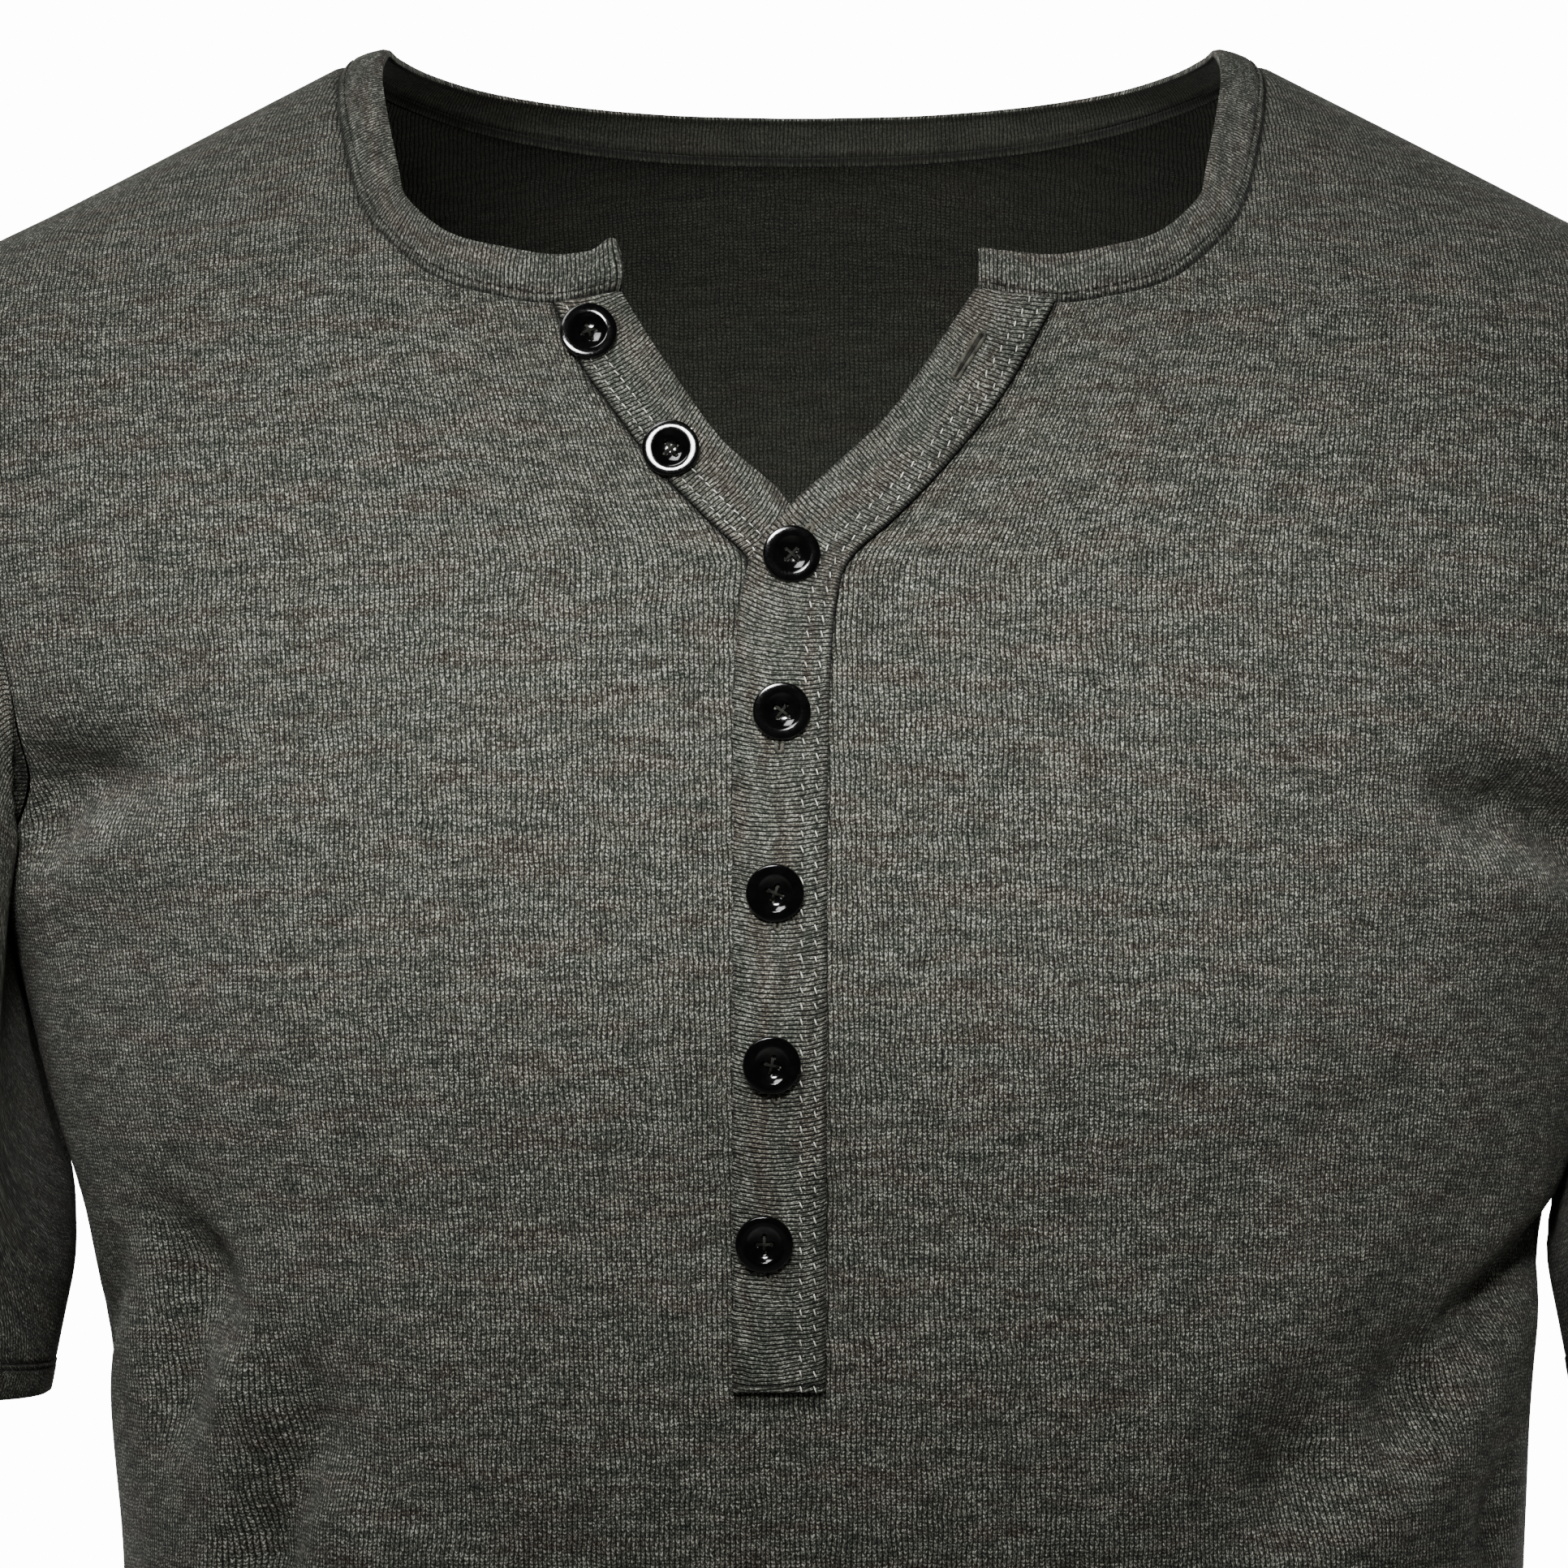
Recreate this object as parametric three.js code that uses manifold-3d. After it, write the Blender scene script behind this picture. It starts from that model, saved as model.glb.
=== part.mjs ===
// Henley shirt with half sleeves, in melange jersey, filled out as when it is worn.
// Millimetres. X runs to the wearer's left, the front faces -Y, Z is up.
// The origin lies between the shoulders, where the wearer carries the shirt.
import * as THREE from "three";
import { mergeVertices } from "three/addons/utils/BufferGeometryUtils.js";
import Module from "manifold-3d";

const wasm = await Module();
wasm.setup();

// Driving sizes
const jerseyWall = 1.3; // one layer of jersey
const hemWall = 2.4; // jersey turned up and sewn
const ribWall = 1.6; // doubled rib of band and plackets
const leftEndLonger = 2.6; // the band's end on the wearer's left reaches further in
const seamGap = 0.3; // between two pieces that are sewn together
const hemHeight = -662;
const hemDepth = 20; // height of the turned hem
const squareness = 2.3; // 2 is an ellipse, more is fuller at the corners
const neckHeight = 28.5; // shoulder seam at the neck
const tipHeight = -25; // shoulder seam at the sleeve
const underarmHeight = -194;
const slotBottom = -305; // lower end of the placket opening
const buttonRadius = 7.1;
const buttonThickness = 2.3;

// Body sections from hem to neck, seen from above
// height, halfWidth, frontDepth, backDepth, centre
const torsoRows = [
  [-662, 190, 112, 102, 3],
  [-600, 187, 111, 99, 3],
  [-500, 182, 110, 93, 3],
  [-420, 180, 110, 90, 3],
  [-360, 180.5, 112, 92, 3],
  [-334, 182, 114, 95, 3],
  [-300, 185, 117, 99, 2.6],
  [-270, 189.5, 120, 103, 2],
  [-240, 197.5, 122.5, 106, 1.4],
  [-210, 204, 123.5, 110, 0.8],
  [-195, 207, 123, 111, 0.5],
  [-175, 214, 122, 113, 0.2],
  [-150, 228, 119, 115, -0.2],
  [-120, 245, 113, 115, -0.8],
  [-90, 255, 104, 113, -1.3],
  [-60, 253, 94, 108, -1.8],
  [-40, 241, 87, 102, -2.1],
  [-25, 221, 81, 96, -2.3],
  [-10, 192, 74, 88, -2.4],
  [10, 153.3, 62, 76, -2.5],
  [28.5, 117.5, 47, 60, -2.5],
  [40, 95, 37, 50, -2.5],
];

// Neck seam from the placket round to the shoulder, and the band that stands on it
// step, x from the middle, height, rise of the band, inward lean of the band
const frontNeckRows = [
  [0, 46, -35, 10.6, 4.5],
  [1, 61.4, -38.3, 12.2, 4.8],
  [2, 74, -36.8, 12.5, 5.4],
  [3, 90.5, -31.9, 11.8, 7],
  [4, 103.6, -21.5, 9.8, 9.2],
  [5, 111, -10.8, 7.6, 10.8],
  [6, 116.4, 8, 5.2, 11.4],
  [7, 118.6, 21, 4.4, 11.2],
  [8, 117.5, 28.5, 4, 11],
];
const backNeckRows = [
  [0, 6, 9.6, 11.8, 3],
  [1, 34, 10.4, 11.6, 3.2],
  [2, 62, 13, 10.8, 4.2],
  [3, 86, 17.5, 9, 6],
  [4, 104, 23, 6.6, 8.6],
  [5, 117.5, 28.5, 4, 11],
];

// Edges of the opening that the placket fills in the front
// height, left edge, right edge
const slotRows = [
  [-305, -18.5, 2.3],
  [-235, -18.6, 2.4],
  [-165, -18.5, 2.7],
  [-125, -18, 3.6],
  [-113, -17.5, 4.4],
  [-103, -16.1, 7.6],
  [-94, -25, 17.4],
  [-81, -37.6, 30],
  [-68, -47.6, 41.4],
  [-53.8, -57.5, 50.8],
  [-38.3, -64.4, 59.4],
];

// Edges of the strip with the buttonholes, which lies on top
// step, left x, left height, right x, right height
const overRows = [
  [0, -19.9, -307, 3.2, -307],
  [1, -19.6, -235, 3.3, -235],
  [2, -19.4, -165, 3.6, -165],
  [3, -18.9, -128, 4.4, -130],
  [4, -15.6, -104.5, 6.2, -111],
  [5, -6.2, -90.8, 10, -102.2],
  [6, 4.8, -80.6, 20.4, -92.8],
  [7, 18.7, -67.3, 33, -79.6],
  [8, 30.3, -50.9, 47.4, -61.4],
  [9, 40.2, -35.9, 60.3, -38.6],
];

// Right edge of the strip with the buttons; its left edge follows the opening
// height at the left edge, right x, right height
const underRows = [
  [-305, 1.7, -304.6],
  [-165, 2, -165],
  [-125, 1, -121],
  [-103, -5, -90.5],
  [-84.8, -22.4, -73],
  [-69.8, -32.6, -58.9],
  [-53.8, -41.6, -45.4],
  [-38.3, -47.3, -35.8],
];

// Button middles, front view, and the layers beneath each one
// x, height, layers
const buttonRows = [
  [-55.4, -46.4, 1],
  [-34.8, -75.8, 1],
  [-5.2, -102.6, 2],
  [-7.6, -140.8, 2],
  [-9.2, -184.4, 2],
  [-10, -226, 2],
  [-11.9, -270.2, 2],
];

// Largest soft folds of body and sleeves, pressed in where the depth is negative
// from angle, from height, to angle, to height, width, depth
const bodyFolds = [
  [-42, -148, -70, -168, 9, -6],
  [42, -156, 70, -176, 9, -6],
  [-40, -168, -76, -190, 14, 3],
  [40, -176, 76, -198, 14, 3],
  [-64, -262, -34, -338, 13, -4],
  [-58, -300, -24, -372, 15, 3],
  [58, -266, 28, -346, 13, -4],
  [62, -310, 30, -386, 15, 3],
  [-50, -430, -60, -655, 26, -5],
  [-22, -470, -26, -655, 28, 4],
  [20, -450, 30, -655, 28, -4],
  [52, -430, 58, -655, 26, 5],
  [112, -158, 138, -140, 11, -5],
  [-112, -158, -138, -140, 11, -5],
  [118, -270, 152, -330, 16, -4],
  [-118, -270, -152, -330, 16, -4],
  [140, -340, 176, -352, 16, 4],
  [-140, -350, -172, -372, 14, -4],
  [130, -440, 124, -655, 28, 5],
  [164, -430, 168, -655, 28, -5],
  [-150, -440, -146, -655, 28, 5],
];
const sleeveFolds = [
  [40, 0.1, 120, 0.42, 16, -4],
  [20, 0.34, 96, 0.62, 16, 3],
  [322, 0.12, 250, 0.46, 16, -4],
  [330, 0.5, 262, 0.76, 18, 3],
  [60, 0.62, 130, 0.84, 15, -3],
];

const radians = THREE.MathUtils.degToRad;
const mix = THREE.MathUtils.lerp;

// Smooth reading of a table by its first column
function readTable(rows, key) {
  const last = rows.length - 1;
  let i = 0;
  while (i < last - 1 && key > rows[i + 1][0]) {
    i += 1;
  }
  const span = rows[i + 1][0] - rows[i][0];
  const u = THREE.MathUtils.clamp((key - rows[i][0]) / span, 0, 1);
  const slope = (k, c) => {
    const before = rows[Math.max(k - 1, 0)];
    const after = rows[Math.min(k + 1, last)];
    return ((after[c] - before[c]) / (after[0] - before[0])) * span;
  };
  return rows[i].map((value, c) => {
    const end = rows[i + 1][c];
    const first = slope(i, c);
    const second = slope(i + 1, c);
    const a = 2 * value - 2 * end + first + second;
    const b = -3 * value + 3 * end - 2 * first - second;
    return ((a * u + b) * u + first) * u + value;
  });
}

// Depth of all folds at one place; across turns degrees into millimetres
function foldDepth(folds, angle, height, across, along) {
  let sum = 0;
  for (const [a0, h0, a1, h1, width, depth] of folds) {
    const dx = (a1 - a0) * across;
    const dy = (h1 - h0) * along;
    const px = (angle - a0) * across;
    const py = (height - h0) * along;
    const t = THREE.MathUtils.clamp((px * dx + py * dy) / (dx * dx + dy * dy), 0, 1);
    const off = Math.hypot(px - t * dx, py - t * dy) / width;
    const taper = 1 - 0.7 * (2 * t - 1) ** 2;
    sum += depth * taper * Math.exp(-off * off);
  }
  return sum;
}

// Bare body surface; angle 0 is the middle of the front, +90 the wearer's left side
function bareBody(angle, height) {
  const [, halfWidth, frontDepth, backDepth, centre] = readTable(torsoRows, height);
  const s = Math.sin(radians(angle));
  const c = Math.cos(radians(angle));
  const power = Math.abs(s) ** squareness + Math.abs(c) ** squareness;
  const size = power ** (-1 / squareness);
  const depth = c > 0 ? frontDepth : backDepth;
  return new THREE.Vector3(centre + halfWidth * s * size, -depth * c * size, height);
}

function bodyNormal(angle, height) {
  const around = bareBody(angle + 0.4, height).sub(bareBody(angle - 0.4, height));
  const up = bareBody(angle, height + 1).sub(bareBody(angle, height - 1));
  return around.cross(up).normalize();
}

// Body surface with its folds, moved out by lift
function bodyPoint(angle, height, lift = 0) {
  const turned = angle > 180 ? angle - 360 : angle;
  const away = lift + foldDepth(bodyFolds, turned, height, 3, 1);
  const normal = bodyNormal(angle, height);
  const point = bareBody(angle, height).addScaledVector(normal, away);
  point.normal = normal;
  return point;
}

// Angle at which the body has this x, on the front or on the back
function angleAt(x, height, back = false) {
  let low = -90;
  let high = 90;
  for (let step = 0; step < 30; step += 1) {
    const middle = (low + high) / 2;
    if (bareBody(middle, height).x < x) {
      low = middle;
    } else {
      high = middle;
    }
  }
  return back ? 180 - low : low;
}

// Armhole, turn 0 at the shoulder tip and 180 under the arm; reach in degrees off the side
function armhole(turn, reach) {
  const middle = (tipHeight + underarmHeight) / 2;
  const half = (tipHeight - underarmHeight) / 2;
  const power = 0.5 + 0.9 * (turn / 180);
  const spread = Math.max(Math.sin(radians(turn)), 0) ** power;
  return { side: reach * spread, height: middle + half * Math.cos(radians(turn)) };
}
const frontReach = 38;
const backReach = 34;

// Closed wall from a grid of outer points; cell(r, c) tells which cells are cloth
function wallFromGrid(grid, wallAt, cell = () => true, wrap = false) {
  const rows = grid.length;
  const columns = grid[0].length;
  const cellColumns = wrap ? columns : columns - 1;
  const id = (r, c) => r * columns + (c % columns);
  const normals = grid.map((row) => row.map(() => new THREE.Vector3()));
  const present = (r, c) => {
    if (r < 0 || r >= rows - 1) {
      return false;
    }
    const column = wrap ? (c + columns) % columns : c;
    return column >= 0 && column < cellColumns && cell(r, column);
  };
  const used = new Set();
  for (let r = 0; r < rows - 1; r += 1) {
    for (let c = 0; c < cellColumns; c += 1) {
      if (!present(r, c)) {
        continue;
      }
      const corners = [[r, c], [r, c + 1], [r + 1, c + 1], [r + 1, c]];
      const [p, q, s, t] = corners.map(([a, b]) => grid[a][b % columns]);
      const face = s.clone().sub(p).cross(t.clone().sub(q));
      corners.forEach(([a, b]) => {
        normals[a][b % columns].add(face);
        used.add(id(a, b));
      });
    }
  }
  const positions = [];
  const inner = [];
  grid.forEach((row, r) => {
    row.forEach((point, c) => {
      const normal = point.normal ?? normals[r][c].normalize();
      positions.push(point.x, point.y, point.z);
      const deep = point.clone().addScaledVector(normal, -wallAt(r, c));
      inner.push(deep.x, deep.y, deep.z);
    });
  });
  const shift = rows * columns;
  const faces = [];
  const quad = (a, b, c, d) => faces.push(a, b, c, a, c, d);
  for (let r = 0; r < rows - 1; r += 1) {
    for (let c = 0; c < cellColumns; c += 1) {
      if (!present(r, c)) {
        continue;
      }
      const p = id(r, c);
      const q = id(r, c + 1);
      const s = id(r + 1, c + 1);
      const t = id(r + 1, c);
      quad(p, q, s, t);
      quad(t + shift, s + shift, q + shift, p + shift);
      if (!present(r - 1, c)) {
        quad(q, p, p + shift, q + shift);
      }
      if (!present(r + 1, c)) {
        quad(t, s, s + shift, t + shift);
      }
      if (!present(r, c - 1)) {
        quad(p, t, t + shift, p + shift);
      }
      if (!present(r, c + 1)) {
        quad(s, q, q + shift, s + shift);
      }
    }
  }
  const all = positions.concat(inner);
  const order = [...used].sort((a, b) => a - b);
  const renumber = new Map(order.concat(order.map((v) => v + shift)).map((v, k) => [v, k]));
  const kept = [...renumber.keys()].flatMap((v) => all.slice(v * 3, v * 3 + 3));
  const geometry = new THREE.BufferGeometry();
  geometry.setAttribute("position", new THREE.Float32BufferAttribute(kept, 3));
  geometry.setIndex(faces.map((v) => renumber.get(v)));
  geometry.computeVertexNormals();
  return geometry;
}

// Rows of one panel: stations give, for each zone, how far it goes on both edges
function panelRows(counts) {
  const rows = [];
  counts.forEach((count, zone) => {
    for (let k = zone === 0 ? 0 : 1; k <= count; k += 1) {
      rows.push({ zone, u: k / count });
    }
  });
  return rows;
}

const hemStep = [hemHeight, hemHeight + hemDepth, hemHeight + hemDepth + 2];

// Outer edge of a panel in degrees and height; zones end at the anchors
function outerEdge(zone, u, reach, turns) {
  if (zone < 2) {
    return { side: 0, height: mix(hemStep[zone], hemStep[zone + 1], u) };
  }
  if (zone === 2) {
    return { side: 0, height: mix(hemStep[2], -325, u) };
  }
  if (zone === 3) {
    return { side: 0, height: mix(-325, underarmHeight, u) };
  }
  return armhole(mix(turns[zone - 4], turns[zone - 3], u), reach);
}

function gapAngle(height) {
  const [, halfWidth, frontDepth] = readTable(torsoRows, height);
  return ((seamGap / 2) * 57.3) / Math.min(halfWidth, frontDepth);
}

// Front: the columns of the right half, the slot, then those of the left half
const frontZones = [1, 1, 10, 6, 6, 5, 7];
const frontTurns = [180, 112, 58, 0];
const sideColumns = 12;
const frontRows = panelRows(frontZones);

function frontInner(zone, u, side) {
  const column = side < 0 ? 1 : 2;
  const byHeight = (height) => ({ x: readTable(slotRows, height)[column], height });
  if (zone < 2) {
    return byHeight(mix(hemStep[zone], hemStep[zone + 1], u));
  }
  if (zone === 2) {
    return byHeight(mix(hemStep[2], slotBottom, u));
  }
  if (zone === 3) {
    return byHeight(mix(slotBottom, -200, u));
  }
  if (zone === 4) {
    return byHeight(mix(-200, -103, u));
  }
  if (zone === 5) {
    return byHeight(mix(-103, -38.3, u));
  }
  const [, x, height] = readTable(frontNeckRows, mix(1, 8, u));
  return { x: readTable(torsoRows, height)[4] + side * x, height };
}

function frontPanel() {
  const grid = frontRows.map(({ zone, u }) => {
    const row = [];
    for (const side of [-1, 1]) {
      const inner = frontInner(zone, u, side);
      const outer = outerEdge(zone, u, frontReach, frontTurns);
      const onRidge = zone === 6 && u === 1;
      const innerAngle = onRidge ? 90 * side : angleAt(inner.x, inner.height);
      const line = [];
      for (let k = 0; k <= sideColumns; k += 1) {
        const s = k / sideColumns;
        const height = mix(inner.height, outer.height, s);
        const free = mix(innerAngle, side * (90 - outer.side), s);
        const limit = 90 - gapAngle(height);
        line.push(bodyPoint(THREE.MathUtils.clamp(free, -limit, limit), height));
      }
      row.push(...(side < 0 ? line.reverse() : line));
    }
    return row;
  });
  const slotRow = frontRows.findIndex(({ zone, u }) => zone === 2 && u === 1);
  const wallAt = (r) => (r < 2 ? hemWall : jerseyWall);
  return wallFromGrid(grid, wallAt, (r, c) => c !== sideColumns || r < slotRow);
}

// Back: the same scheme with a narrow middle strip that ends at the neck
const backZones = [1, 1, 9, 5, 5, 5, 5];
const backTurns = [180, 112, 40, 0];
const backColumns = 10;

function backPanel() {
  const rows = panelRows(backZones);
  const grid = rows.map(({ zone, u }) => {
    const row = [];
    for (const side of [1, -1]) {
      const outer = outerEdge(zone, u, backReach, backTurns);
      let x = 6;
      let height = outer.height;
      if (zone === 4) {
        height = mix(underarmHeight, -100, u);
      } else if (zone === 5) {
        height = mix(-100, 9.6, u);
      } else if (zone === 6) {
        [, x, height] = readTable(backNeckRows, mix(0, 5, u));
      }
      const middle = readTable(torsoRows, height)[4];
      const onRidge = zone === 6 && u === 1;
      const found = onRidge ? 90 * side : angleAt(middle + side * x, height);
      const innerOff = side * 180 - found;
      const line = [];
      for (let k = 0; k <= backColumns; k += 1) {
        const s = k / backColumns;
        const at = mix(height, outer.height, s);
        const free = mix(innerOff, side * (90 + outer.side), s);
        const limit = 90 + gapAngle(at);
        const angle = side * Math.max(side * free, limit);
        line.push(bodyPoint(angle, at));
      }
      row.push(...(side > 0 ? line.reverse() : line));
    }
    return row;
  });
  const neckRow = rows.findIndex(({ zone, u }) => zone === 5 && u === 1);
  const wallAt = (r) => (r < 2 ? hemWall : jerseyWall);
  return wallFromGrid(grid, wallAt, (r, c) => c !== backColumns || r < neckRow);
}

// Turns of the armhole at which a panel has its rows, from the underarm to the tip
function armholeTurns(zones, turns) {
  return panelRows(zones.slice(4)).map(({ zone, u }) => mix(turns[zone], turns[zone + 1], u));
}

// Sleeve: curves from the armhole to the cuff, turn 0 on top, 90 in front
const cuff = { x: 255, y: 3, height: -312, halfWidth: 57, halfDepth: 64 };
const sleeveTurns = [
  ...armholeTurns(frontZones, frontTurns).reverse(),
  ...armholeTurns(backZones, backTurns).slice(1, -1).map((turn) => 360 - turn),
];
const sleeveSteps = [0, 0.06, 0.13, 0.21, 0.3, 0.39, 0.48, 0.57, 0.66, 0.75, 0.84, 0.915, 0.925, 1];

// Way in which the sleeve leaves the armhole: turn, out, forward, down
const leaveRows = [
  [0, 175, 0, -62],
  [45, 150, 4, -88],
  [90, 92, 10, -118],
  [135, 20, 12, -132],
  [180, -64, 0, -125],
  [225, 20, -12, -132],
  [270, 92, -10, -118],
  [315, 150, -4, -88],
  [360, 175, 0, -62],
];

function sleevePoint(side, turn, u) {
  const front = turn <= 180;
  const edge = armhole(front ? turn : 360 - turn, front ? frontReach : backReach);
  const angle = side * (front ? 90 - edge.side : 90 + edge.side);
  const start = bodyPoint(angle, edge.height);
  const [, out, forward, down] = readTable(leaveRows, turn);
  const leave = new THREE.Vector3(side * out, forward, down);
  const under = THREE.MathUtils.smoothstep(180 - Math.abs(turn - 180), 95, 160);
  const away = leave.clone().normalize().lerp(bodyNormal(angle, edge.height), under);
  start.addScaledVector(away.normalize(), seamGap + 0.2);
  const cos = Math.cos(radians(turn));
  const sin = Math.sin(radians(turn));
  const end = new THREE.Vector3(
    side * (cuff.x + cuff.halfWidth * cos),
    cuff.y - cuff.halfDepth * sin,
    cuff.height + 4 * cos,
  );
  const length = start.distanceTo(end);
  const arrive = new THREE.Vector3(side * 0.22, 0, -0.97).multiplyScalar(length);
  const [uu, uuu] = [u * u, u * u * u];
  const point = start.clone().multiplyScalar(2 * uuu - 3 * uu + 1);
  point.addScaledVector(leave, uuu - 2 * uu + u);
  point.addScaledVector(end, 3 * uu - 2 * uuu);
  point.addScaledVector(arrive, uuu - uu);
  return point;
}

function sleeveSurface(side, turn, u) {
  const point = sleevePoint(side, turn, u);
  const around = sleevePoint(side, turn + 1, u).sub(sleevePoint(side, Math.max(turn - 1, 0), u));
  const along = sleevePoint(side, turn, Math.min(u + 0.02, 1));
  along.sub(sleevePoint(side, turn, Math.max(u - 0.02, 0)));
  const normal = along.cross(around).multiplyScalar(-side).normalize();
  const fade = Math.sin(Math.PI * Math.min(u * 2.5, 0.5)) * Math.min((1 - u) * 6, 1);
  point.addScaledVector(normal, foldDepth(sleeveFolds, turn, u, 1.2, 230) * fade);
  // Where the arm hangs against the body the sleeve lies on its side
  if (u > 0 && turn > 90 && turn < 270) {
    const [, halfWidth, frontDepth, backDepth, centre] = readTable(torsoRows, point.z);
    const depth = point.y < 0 ? frontDepth : backDepth;
    const part = Math.min(Math.abs(point.y) / depth, 1);
    const reach = halfWidth * (1 - part ** squareness) ** (1 / squareness) + 1.6;
    point.x = centre + side * Math.max(side * (point.x - centre), reach);
  }
  return point;
}

function sleeve(side) {
  const grid = sleeveSteps.map((u) => {
    const row = sleeveTurns.map((turn) => sleeveSurface(side, turn, u));
    return side > 0 ? row : row.reverse();
  });
  const hemFrom = sleeveSteps.indexOf(0.925);
  return wallFromGrid(grid, (r) => (r >= hemFrom ? hemWall : jerseyWall), () => true, true);
}

// Neckband: stands on the neck seam, from one end at the placket round to the other
function neckbandStations() {
  const stations = [];
  const add = (rows, step, side, back) => {
    const [, tableX, height, rise, lean] = readTable(rows, step);
    const x = step === 0 && side > 0 && !back ? tableX - leftEndLonger : tableX;
    const middle = readTable(torsoRows, height)[4];
    const ridge = height >= neckHeight - 0.01;
    let angle = ridge ? 90 * side : angleAt(middle + side * x, height);
    if (back && !ridge) {
      angle = side * 180 - angle;
    }
    stations.push({ foot: bodyPoint(angle, height), rise, lean });
  };
  const frontSteps = [0, 1, 2, 3, 4, 5, 6, 7];
  const backSteps = [4, 3, 2, 1];
  frontSteps.forEach((step) => add(frontNeckRows, step, -1, false));
  add(frontNeckRows, 8, -1, false);
  backSteps.forEach((step) => add(backNeckRows, step, -1, true));
  add(backNeckRows, 0, -1, true);
  add(backNeckRows, 0, 1, true);
  backSteps.reverse().forEach((step) => add(backNeckRows, step, 1, true));
  add(frontNeckRows, 8, 1, false);
  frontSteps.reverse().forEach((step) => add(frontNeckRows, step, 1, false));
  return stations;
}

function neckband() {
  const stations = neckbandStations();
  const last = stations.length - 1;
  const rows = [0, 0.5, 1].map((across) =>
    stations.map(({ foot, rise, lean }, k) => {
      const before = stations[Math.max(k - 1, 0)].foot;
      const after = stations[Math.min(k + 1, last)].foot;
      const way = after.clone().sub(before);
      const inward = new THREE.Vector3(way.y, -way.x, 0).normalize();
      const up = inward.multiplyScalar(lean).add(new THREE.Vector3(0, 0, rise));
      const side = way.cross(up).normalize();
      const start = (seamGap + 0.15) / up.length();
      const bulge = Math.sin(Math.PI * across) * 0.7;
      return foot.clone().addScaledVector(up, mix(start, 1, across)).addScaledVector(side, -bulge);
    }),
  );
  return wallFromGrid(rows.map((row) => row.reverse()), () => ribWall);
}

// Strip that lies on the front between a left and a right edge
function strip(lines, lift, columns) {
  const grid = lines.map(([leftX, leftHeight, rightX, rightHeight]) => {
    const left = angleAt(leftX, leftHeight);
    const right = angleAt(rightX, rightHeight);
    const row = [];
    for (let k = 0; k <= columns; k += 1) {
      const s = k / columns;
      row.push(bodyPoint(mix(left, right, s), mix(leftHeight, rightHeight, s), lift));
    }
    return row;
  });
  return wallFromGrid(grid, () => ribWall);
}

function underPlacket() {
  const heights = frontRows
    .filter(({ zone, u }) => (zone === 2 && u === 1) || (zone > 2 && zone < 6))
    .map(({ zone, u }) => frontInner(zone, u, -1).height);
  const lines = heights.map((height, k) => {
    const [, rightX, rightHeight] = readTable(underRows, height);
    const left = readTable(slotRows, height)[1] + 0.45;
    const leftHeight = k === 0 ? height + 0.4 : height - (height > -60 ? 0.3 : 0);
    return [left, leftHeight, rightX, rightHeight];
  });
  return strip(lines, 0, 2);
}

function overPlacket() {
  const lines = [];
  for (let k = 0; k <= 32; k += 1) {
    lines.push(readTable(overRows, k < 15 ? k * 0.2 : mix(3, 9, (k - 15) / 17)).slice(1));
  }
  return strip(lines, ribWall + 0.35, 2);
}

// Button with four holes, dished inside a raised rim
function solidOf(geometry) {
  const bare = geometry.clone();
  bare.deleteAttribute("normal");
  bare.deleteAttribute("uv");
  const merged = mergeVertices(bare, 1e-4);
  return new wasm.Manifold(new wasm.Mesh({
    numProp: 3,
    vertProperties: new Float32Array(merged.attributes.position.array),
    triVerts: new Uint32Array(merged.index.array),
  }));
}

function buttonGeometry() {
  const profile = [
    [0, 0], [5.4, 0], [6.7, 0.6], [buttonRadius, 1.2], [6.7, 2],
    [6.1, buttonThickness], [5.1, 2.2], [4.4, 1.5], [3.4, 1.2], [0, 1.1],
  ].map(([r, y]) => new THREE.Vector2(r, y));
  const body = new THREE.LatheGeometry(profile, 20);
  let solid = solidOf(body);
  for (const [x, z] of [[1.2, 1.2], [1.2, -1.2], [-1.2, 1.2], [-1.2, -1.2]]) {
    const hole = new THREE.CylinderGeometry(0.65, 0.65, 5, 6);
    hole.translate(x, 1, z);
    solid = solid.subtract(solidOf(hole));
  }
  const mesh = solid.getMesh();
  const geometry = new THREE.BufferGeometry();
  geometry.setAttribute("position", new THREE.BufferAttribute(mesh.vertProperties, 3));
  geometry.setIndex(new THREE.BufferAttribute(mesh.triVerts, 1));
  geometry.computeVertexNormals();
  return geometry;
}

const jersey = new THREE.MeshStandardMaterial({ color: "#4b4c48", roughness: 0.95, metalness: 0 });
const rib = new THREE.MeshStandardMaterial({ color: "#50514c", roughness: 0.95, metalness: 0 });
const gloss = new THREE.MeshStandardMaterial({ color: "#0b0b0c", roughness: 0.2, metalness: 0 });

const shirt = new THREE.Group();

function add(name, geometry, material) {
  const mesh = new THREE.Mesh(geometry, material);
  mesh.name = name;
  mesh.material.side = THREE.FrontSide;
  shirt.add(mesh);
  return mesh;
}

add("front", frontPanel(), jersey);
add("back", backPanel(), jersey);
add("sleeve_right", sleeve(-1), jersey);
add("sleeve_left", sleeve(1), jersey);
add("neckband", neckband(), rib);
add("placket_under", underPlacket(), rib);
add("placket_over", overPlacket(), rib);

const buttonShape = buttonGeometry();
buttonRows.forEach(([x, height, layers], k) => {
  const angle = angleAt(x, height);
  const lift = layers === 1 ? seamGap : ribWall + 0.35 + seamGap;
  const button = add(`button_${k + 1}`, buttonShape, gloss);
  button.position.copy(bodyPoint(angle, height, lift));
  const normal = bodyNormal(angle, height);
  button.quaternion.setFromUnitVectors(new THREE.Vector3(0, 1, 0), normal);
});

export default shirt;
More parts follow.
